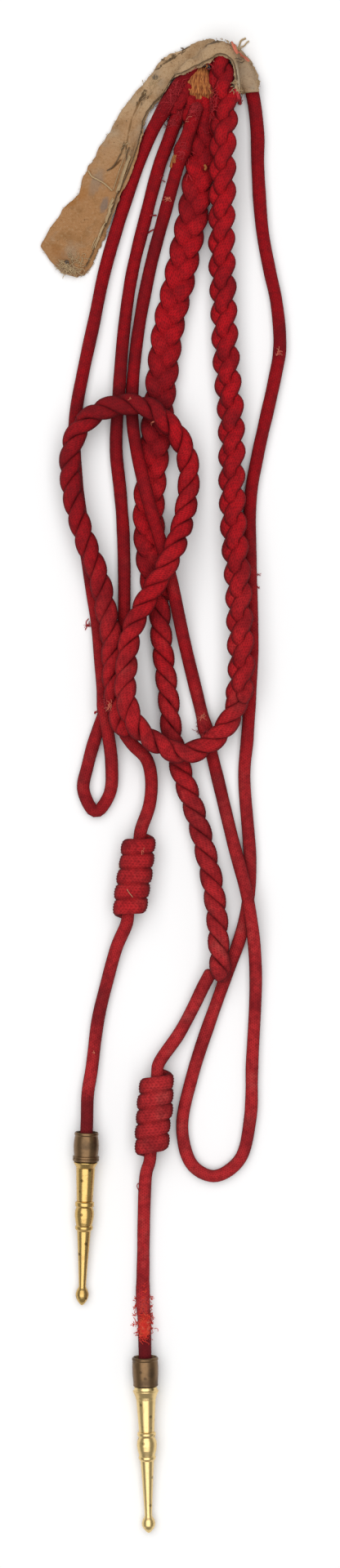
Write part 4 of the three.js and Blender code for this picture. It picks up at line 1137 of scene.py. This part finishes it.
# In these dictionaries a tuft is its seed, count of threads, length, radius, heading, spread, lift and
# bend, and then its places; a thread is its places, lift and radius.
# Frayed wool: where covers are rubbed open the fibres stand up in short curls
gatheredPlaces = [
    (.0040, .3395), (.0065, .3420), (.0085, .3375), (.0060, .3360), (.0105, .3345), (.0090, .3405),
    (.0125, .3330), (.0150, .3310), (.0185, .3320), (.0200, .3345), (.0130, .3295), (.0160, .3280),
    (.0205, .3300), (.0165, .3560), (.0185, .3545), (.0100, .3320), (.0075, .3330), (.0045, .3355),
    (.0240, .3370), (.0215, .3325),
]
frayLook = {
    "tufts": [
        (101, 16, .0065, .00013, -1.8, 1.4, .0006, .5, *[(x, y, .0013) for x, y in gatheredPlaces]),
        (102, 30, .0040, .00014, -1.9, 1.5, .0006, .5,
         (.0100, .3110, .0014), (.0090, .3090, .0010), (.0045, .3250, .0010)),
        (103, 20, .0028, .00013, -2.0, 1.5, .0003, .5, (-.0284, .0402, .0012), (-.0290, .0390, .0010)),
        (104, 20, .0022, .00014, 2.6, 1.6, .0003, .5,
         (.0190, .0278, .0010), (.0202, .0270, .0010), (.0182, .0290, .0010)),
        (106, 5, .0014, .00013, 0.2, 0.7, .0003, .5,
         (.0568, .2123, .0004), (.0460, .1037, .0003), (.0461, .0977, .0003)),
        (114, 14, .0016, .00013, -1.2, 1.2, -.0004, .5, (.0364, .3352, .0006), (.0374, .3360, .0006)),
        (107, 8, .0018, .00013, 2.4, 0.8, .0003, .5, (-.0362, .0790, .0004), (-.0370, .0788, .0004)),
    ],
    "threads": [
        ([(-.0316, .0382), (-.0332, .0362), (-.0338, .0356), (-.0336, .0366), (-.0322, .0362)],
         .0004, .00028),
        ([(-.0368, .0822), (-.0380, .0806), (-.0376, .0786), (-.0384, .0768)], .0003, .00025),
        ([(-.0036, .2802), (-.0050, .2802), (-.0064, .2794)], .0004, .00042),
        ([(-.0050, .2732), (-.0062, .2726), (-.0074, .2716)], .0004, .00038),
        ([(.0000, .2995), (-.0016, .2978), (.0008, .2968)], .0003, .00025),
        ([(.0354, .3396), (.0362, .3376), (.0366, .3356)], -.0006, .0012),
        ([(.0364, .3392), (.0374, .3374), (.0374, .3352)], -.0010, .0010),
        ([(.0140, .2960), (.0120, .2990), (.0112, .2960)], .0002, .0003),
        ([(-.0110, -.1958), (-.0124, -.1950), (-.0130, -.1966), (-.0120, -.1984), (-.0108, -.1988)],
         -.0014, .0002),
    ],
}
# The cover of the right tail is rubbed open along its last third, most of all at the lower end
openCoverLook = {"tufts": [
    (105, 12, .0024, .00012, -1.4, 1.6, .0002, .7, *[(-.0095, -.2470 - .0030 * k, .0013) for k in range(5)]),
    (108, 34, .0030, .00015, -1.5, 1.5, .0004, .7, *[(-.0094, -.2608 - .0010 * k, .0015) for k in range(8)]),
    (109, 8, .0016, .00014, 2.6, 0.7, -.0012, .5, *[(-.0136, -.2520 - .0040 * k, .0004) for k in range(4)]),
    (110, 6, .0014, .00014, 0.4, 0.7, -.0012, .5, *[(-.0062, -.2520 - .0036 * k, .0004) for k in range(5)]),
]}
paleLook = {"tufts": [
    (111, 12, .0024, .00012, -1.6, 1.5, .0005, .7,
     (-.0092, -.2630, .0014), (.0192, .0340, .0005), (-.0264, .0392, .0005), (.0020, .2872, .0006),
     (.0562, .2122, .0004), (.0100, .3255, .0005)),
    (112, 5, .0009, .00014, 0.0, 2.0, .0002, .5,
     (-.0162, .1886, .0002), (-.0054, .1770, .0002), (-.0340, -.1301, .0002)),
    (113, 16, .0018, .00015, 0.0, 2.0, knotLook["lift"], .5, (-.0096, -.0313, .0005)),
]}
threadPiece("frayedWool", frayLook, woolEnds, "red_wool")
threadPiece("rubbedOpenCover", openCoverLook, brightEnds, "red_wool")
threadPiece("paleWoolEnds", paleLook, paleEnds, "red_wool")
print("frayed wool made")

# The bare core under the tab: cotton yarns side by side, creased where the bundle is bent. The creases
# run slanting from yarn to yarn.
coreLook = {
    "steps": 40, "sides": 12, "fullness": 1.1, "height": 0.0078, "arch": 0.0026, "falls": 0.0015,
    "creases": 30, "slant": 0.8, "creaseDepth": 0.17,
    "yarns": [
        # top x, y; middle x, y; end x, y; radius
        ((.0146, .3496), (.0126, .3440), (.0118, .3356), .0016),
        ((.0160, .3502), (.0146, .3436), (.0140, .3350), .0019),
        ((.0176, .3504), (.0172, .3430), (.0172, .3362), .0022),
        ((.0192, .3500), (.0200, .3430), (.0210, .3364), .0022),
        ((.0204, .3500), (.0218, .3440), (.0238, .3358), .0017),
    ],
}


def coreSkins():
    skins = []
    random = np.random.default_rng(121)
    for number, (top, middle, end, radius) in enumerate(coreLook["yarns"]):
        w = np.linspace(0, 1, coreLook["steps"])
        plan = np.outer((1 - w) ** 2, top) + np.outer(2 * w * (1 - w), middle) + np.outer(w ** 2, end)
        rise = coreLook["height"] + coreLook["arch"] * np.sin(w * math.pi) - coreLook["falls"] * w
        slant = w * coreLook["creases"] - number * coreLook["slant"] + random.uniform(0, 0.5)
        creases = 1 + coreLook["creaseDepth"] * np.sin(slant) * np.clip(w * 3 - 0.2, 0, 1)
        width = 2 * radius * coreLook["fullness"]
        section = sectionOf(width, width, coreLook["sides"])
        skins.append(tubeSkin(np.column_stack([plan, rise]), np.array([0, 0, 1.0]), section, creases))
    return skins


fitPiece(skinPiece("bareCore", coreSkins(), cotton), "cotton_core", "cotton_core")
# Where the cover of a cord or plait is worn through, the cotton shows
wornLook = {"threads": [
    ([(.0068, .3100), (.0050, .3066), (.0040, .3030)], -.0016, .0011),
    ([(.0080, .3106), (.0064, .3080), (.0054, .3050)], -.0010, .0009),
    ([(.0202, .3034), (.0208, .3024), (.0204, .3014)], -.0004, .0007),
    ([(.0208, .3520), (.0214, .3512), (.0206, .3506)], .0008, .0004),
]}
threadPiece("wornThroughCore", wornLook, cotton, "cotton_core")

# The hem: short ends along both edges of the band, which are cleaner near the top of the inner edge,
# and longer threads where the inner edge is torn
hemLook = {
    "count": 130, "inside": 0.0006, "length": (0.0006, 0.0015), "radius": 0.00011, "sinks": 0.0009,
    "spread": 0.9, "bend": 0.4, "cleanTo": 0.4, "cleanShare": 0.7,
    "torn": [(-.0168, .3083), (-.0188, .3030), (-.0206, .2975), (-.0222, .2923)],
    "tornCount": 16, "tornReach": 0.0006, "tornLift": 0.0003, "tornRadius": 0.00022,
    "ends": [(-.0244, .2880), (-.0250, .2850), (-.0262, .2820), (-.0300, .2728), (-.0290, .2758),
             (-.0318, .2690)],
    "endShape": [(0, 0), (-.0012, -.0022), (-.0022, -.0050)],
    "endCount": 5, "endReach": 0.0005, "endLift": 0.0002, "endRadius": 0.0002,
}


def hemThreads():
    random = np.random.default_rng(131)
    threads = []
    inward = unit(innerEdge - outerEdge)
    for edge, away in ((outerEdge, -1), (innerEdge, 1)):
        for row in random.integers(4, tabRows - 3, hemLook["count"]):
            if away > 0 and row < tabRows * hemLook["cleanTo"] and random.uniform() < hemLook["cleanShare"]:
                continue
            heading = math.atan2(inward[row, 1], inward[row, 0]) + (math.pi if away < 0 else 0)
            start = edge[row] - inward[row] * away * hemLook["inside"]
            length = random.uniform(*hemLook["length"])
            path = curl(random, start, heading + random.normal(0, hemLook["spread"]), length, hemLook["bend"])
            threads.append((path, -hemLook["sinks"] * random.uniform(0, 1), hemLook["radius"]))
    for _ in range(hemLook["tornCount"]):
        path = np.array(hemLook["torn"]) + random.normal(0, hemLook["tornReach"], 2)
        threads.append((path, hemLook["tornLift"] * random.uniform(0, 2), hemLook["tornRadius"]))
    for place in hemLook["ends"]:
        for _ in range(hemLook["endCount"]):
            path = np.array(hemLook["endShape"]) + place + random.normal(0, hemLook["endReach"], 2)
            threads.append((path, hemLook["endLift"], hemLook["endRadius"]))
    return threads


# Tufts of linen at the worn hole, the flap and the torn edge, and single ends at the top
linenEndsLook = {
    "tufts": [
        (132, 16, .0034, .00016, -2.2, 0.9, .0004, .5,
         (-.0474, .2556, .0016), (-.0448, .2540, .0014), (-.0430, .2535, .0012), (-.0490, .2548, .0010)),
        (133, 10, .0030, .00013, 2.4, 1.2, .0003, .5,
         (-.0420, .2565, .0016), (-.0400, .2580, .0014), (-.0440, .2590, .0014)),
        (134, 9, .0020, .00013, -1.8, 0.8, 0.0, .5,
         (.0350, .3400, .0008), (.0362, .3392, .0010), (.0380, .3390, .0010), (.0352, .3420, .0008),
         (.0350, .3440, .0006)),
        (135, 6, .0028, .00012, 0.9, 0.5, 0.0, .3,
         (-.0070, .3425, .0010), (-.0056, .3440, .0010), (-.0040, .3462, .0008), (-.0092, .3395, .0010),
         (-.0196, .3150, .0008), (-.0200, .3110, .0008)),
    ],
    "threads": hemThreads() + [
        ([(.0362, .3612), (.0372, .3634), (.0376, .3652), (.0384, .3664), (.0402, .3672)], 0.0, .0005),
        ([(.0370, .3610), (.0384, .3628), (.0396, .3636), (.0408, .3650), (.0418, .3658)], .0004, .0004),
        ([(.0338, .3606), (.0334, .3626), (.0330, .3644), (.0334, .3652)], 0.0, .0004),
        ([(.0316, .3622), (.0310, .3642), (.0312, .3650)], 0.0, .0003),
    ],
}
# A dark thread along the step where the top ply ends short of the under ply: painted shadow of that step
stepShadowLook = {"from": 12, "to": 215, "every": 2, "beyond": 0.012, "sway": 0.008, "swayTurns": 0.9}
stepShadowRows = np.arange(stepShadowLook["from"], stepShadowLook["to"], stepShadowLook["every"])
stepShadowSway = stepShadowLook["sway"] * np.sin(stepShadowRows * stepShadowLook["swayTurns"])
stepShadowShare = tabLook["edgeShow"] + stepShadowLook["beyond"] + stepShadowSway
stepShadowLine = outerEdge[stepShadowRows] * (1 - stepShadowShare[:, None]) + innerEdge[stepShadowRows] * stepShadowShare[:, None]
darkEndsLook = {
    "tufts": [
        (136, 7, .0018, .0002, 3.6, 0.4, -.0003, .3,
         (.0104, .3612, .0005), (.0092, .3606, .0005), (.0056, .3584, .0005), (.0036, .3570, .0005),
         (.0010, .3552, .0006), (-.0016, .3532, .0006)),
        (137, 4, .0026, .00018, 1.1, 0.25, .0001, .2,
         (-.0100, .3386, .0008), (-.0112, .3364, .0008), (-.0124, .3344, .0008), (-.0204, .3126, .0006)),
        # frayed ends in the worn hole, dark as painted shade inside the hole
        (138, 14, .0020, .00014, 0.0, 2.0, -.0002, .5, (-.0472, .2568, .0006)),
    ],
    "threads": [
        ([(-.0210, .3100), (-.0232, .3060), (-.0252, .3035), (-.0276, .3020)], 0.0, .0003),
        ([(.0395, .3548), (.0380, .3538), (.0362, .3532)], 0.0, .0002),
        ([(.0382, .3554), (.0366, .3548), (.0352, .3546)], 0.0, .0002),
        ([(-.0168, .3132), (-.0180, .3098), (-.0182, .3060)], 0.0, .0003),
        # a dark thread as painted shadow along the step at the top ply's edge
        (stepShadowLine, -.0002, .00026),
    ],
}
rustyLook = {"threads": [
    ([(.0358, .3572), (.0346, .3590), (.0338, .3612), (.0334, .3636)], .0004, .0006),
    ([(.0362, .3576), (.0352, .3594), (.0346, .3616), (.0344, .3634)], .0008, .0005),
    ([(.0420, .3550), (.0408, .3562), (.0394, .3574), (.0382, .3588), (.0370, .3600)], .0003, .0003),
    ([(.0416, .3546), (.0402, .3556), (.0390, .3570), (.0376, .3580)], .0005, .00025),
]}
greyLook = {"threads": [
    ([(-.0368, .3018), (-.0350, .2990), (-.0318, .2972), (-.0290, .2956), (-.0262, .2930), (-.0252, .2922)],
     .0002, .0004),
    ([(-.0218, -.0376), (-.0214, -.0412), (-.0190, -.0444), (-.0178, -.0500), (-.0150, -.0540)],
     knotLook["lift"], .00016),
]}
threadPiece("linenEnds", linenEndsLook, linenThread, "linen", True)
threadPiece("darkLinenEnds", darkEndsLook, darkThread, "linen", True)
threadPiece("rustyThreads", rustyLook, paleEnds, "linen", True)
threadPiece("greyThread", greyLook, linenThread, "linen", True)

# Where the covers are gathered into the tab they are frayed into one soft mass
gatherLook = {
    "steps": 24, "sides": 16, "flatness": 0.95, "sway": 0.0006, "swayTurns": 9,
    "arch": 0.0016, "sinks": 0.0021, "uneven": 0.16, "unevenEvery": 0.09,
    "strands": [
        # lower end, upper end, height of the middle, radius
        ((.0158, .3190), (.0166, .3368), .0058, .0036),
        ((.0200, .3140), (.0202, .3362), .0060, .0038),
        ((.0236, .3160), (.0238, .3364), .0058, .0033),
        ((.0118, .3270), (.0144, .3372), .0070, .0031),
        ((.0050, .3310), (.0110, .3400), .0074, .0032),
        ((.0080, .3350), (.0130, .3440), .0080, .0028),
    ],
}


def gatheredSkins():
    skins = []
    w = np.linspace(0, 1, gatherLook["steps"])
    for number, (lower, upper, height, radius) in enumerate(gatherLook["strands"]):
        plan = np.outer(1 - w, lower) + np.outer(w, upper)
        plan[:, 0] += gatherLook["sway"] * np.sin(w * gatherLook["swayTurns"] + number)
        rise = height + gatherLook["arch"] * np.sin(w * math.pi) - gatherLook["sinks"] * (1 - w) ** 3
        scale = unevenness(w, gatherLook["uneven"], gatherLook["unevenEvery"], 141 + number)
        section = sectionOf(2 * radius, 2 * radius * gatherLook["flatness"], gatherLook["sides"])
        skins.append(tubeSkin(np.column_stack([plan, rise]), np.array([0, 0, 1.0]), section, scale))
    return skins


fitPiece(skinPiece("gatheredWool", gatheredSkins(), wool), "red_wool")
print("core and linen ends made")

# A pale table top, a wide soft light from above and a dim room
stageLook = {"half": 3, "colour": "#FBFBFB", "roughness": 0.9, "lightSize": (3.4, 4.4), "lightPower": 83,
             "lightAt": (-0.3, 0.2, 2.4), "room": 0.3}


def makeStage():
    # Wood painted off-white and matt, so that it only shows soft shadows
    paint = bpy.data.materials.new("mattPaint")
    paint.use_nodes = True
    shader = paint.node_tree.nodes["Principled BSDF"]
    shader.inputs["Base Color"].default_value = linear(stageLook["colour"])
    shader.inputs["Roughness"].default_value = stageLook["roughness"]
    half = stageLook["half"]
    mesh = bpy.data.meshes.new("tableTop")
    mesh.from_pydata([(-half, -half, 0), (half, -half, 0), (half, half, 0), (-half, half, 0)], [],
                     [(0, 1, 2, 3)])
    mesh.materials.append(paint)
    table = bpy.data.objects.new("tableTop", mesh)
    scene.collection.objects.link(table)
    light = bpy.data.lights.new("softbox", "AREA")
    light.shape = "RECTANGLE"
    light.size, light.size_y = stageLook["lightSize"]
    light.energy = stageLook["lightPower"]
    lamp = bpy.data.objects.new("softbox", light)
    lamp.location = stageLook["lightAt"]
    scene.collection.objects.link(lamp)
    world = bpy.data.worlds.new("studio")
    world.use_nodes = True
    world.node_tree.nodes["Background"].inputs["Color"].default_value = (1, 1, 1, 1)
    world.node_tree.nodes["Background"].inputs["Strength"].default_value = stageLook["room"]
    scene.world = world


makeStage()
print("stage set")
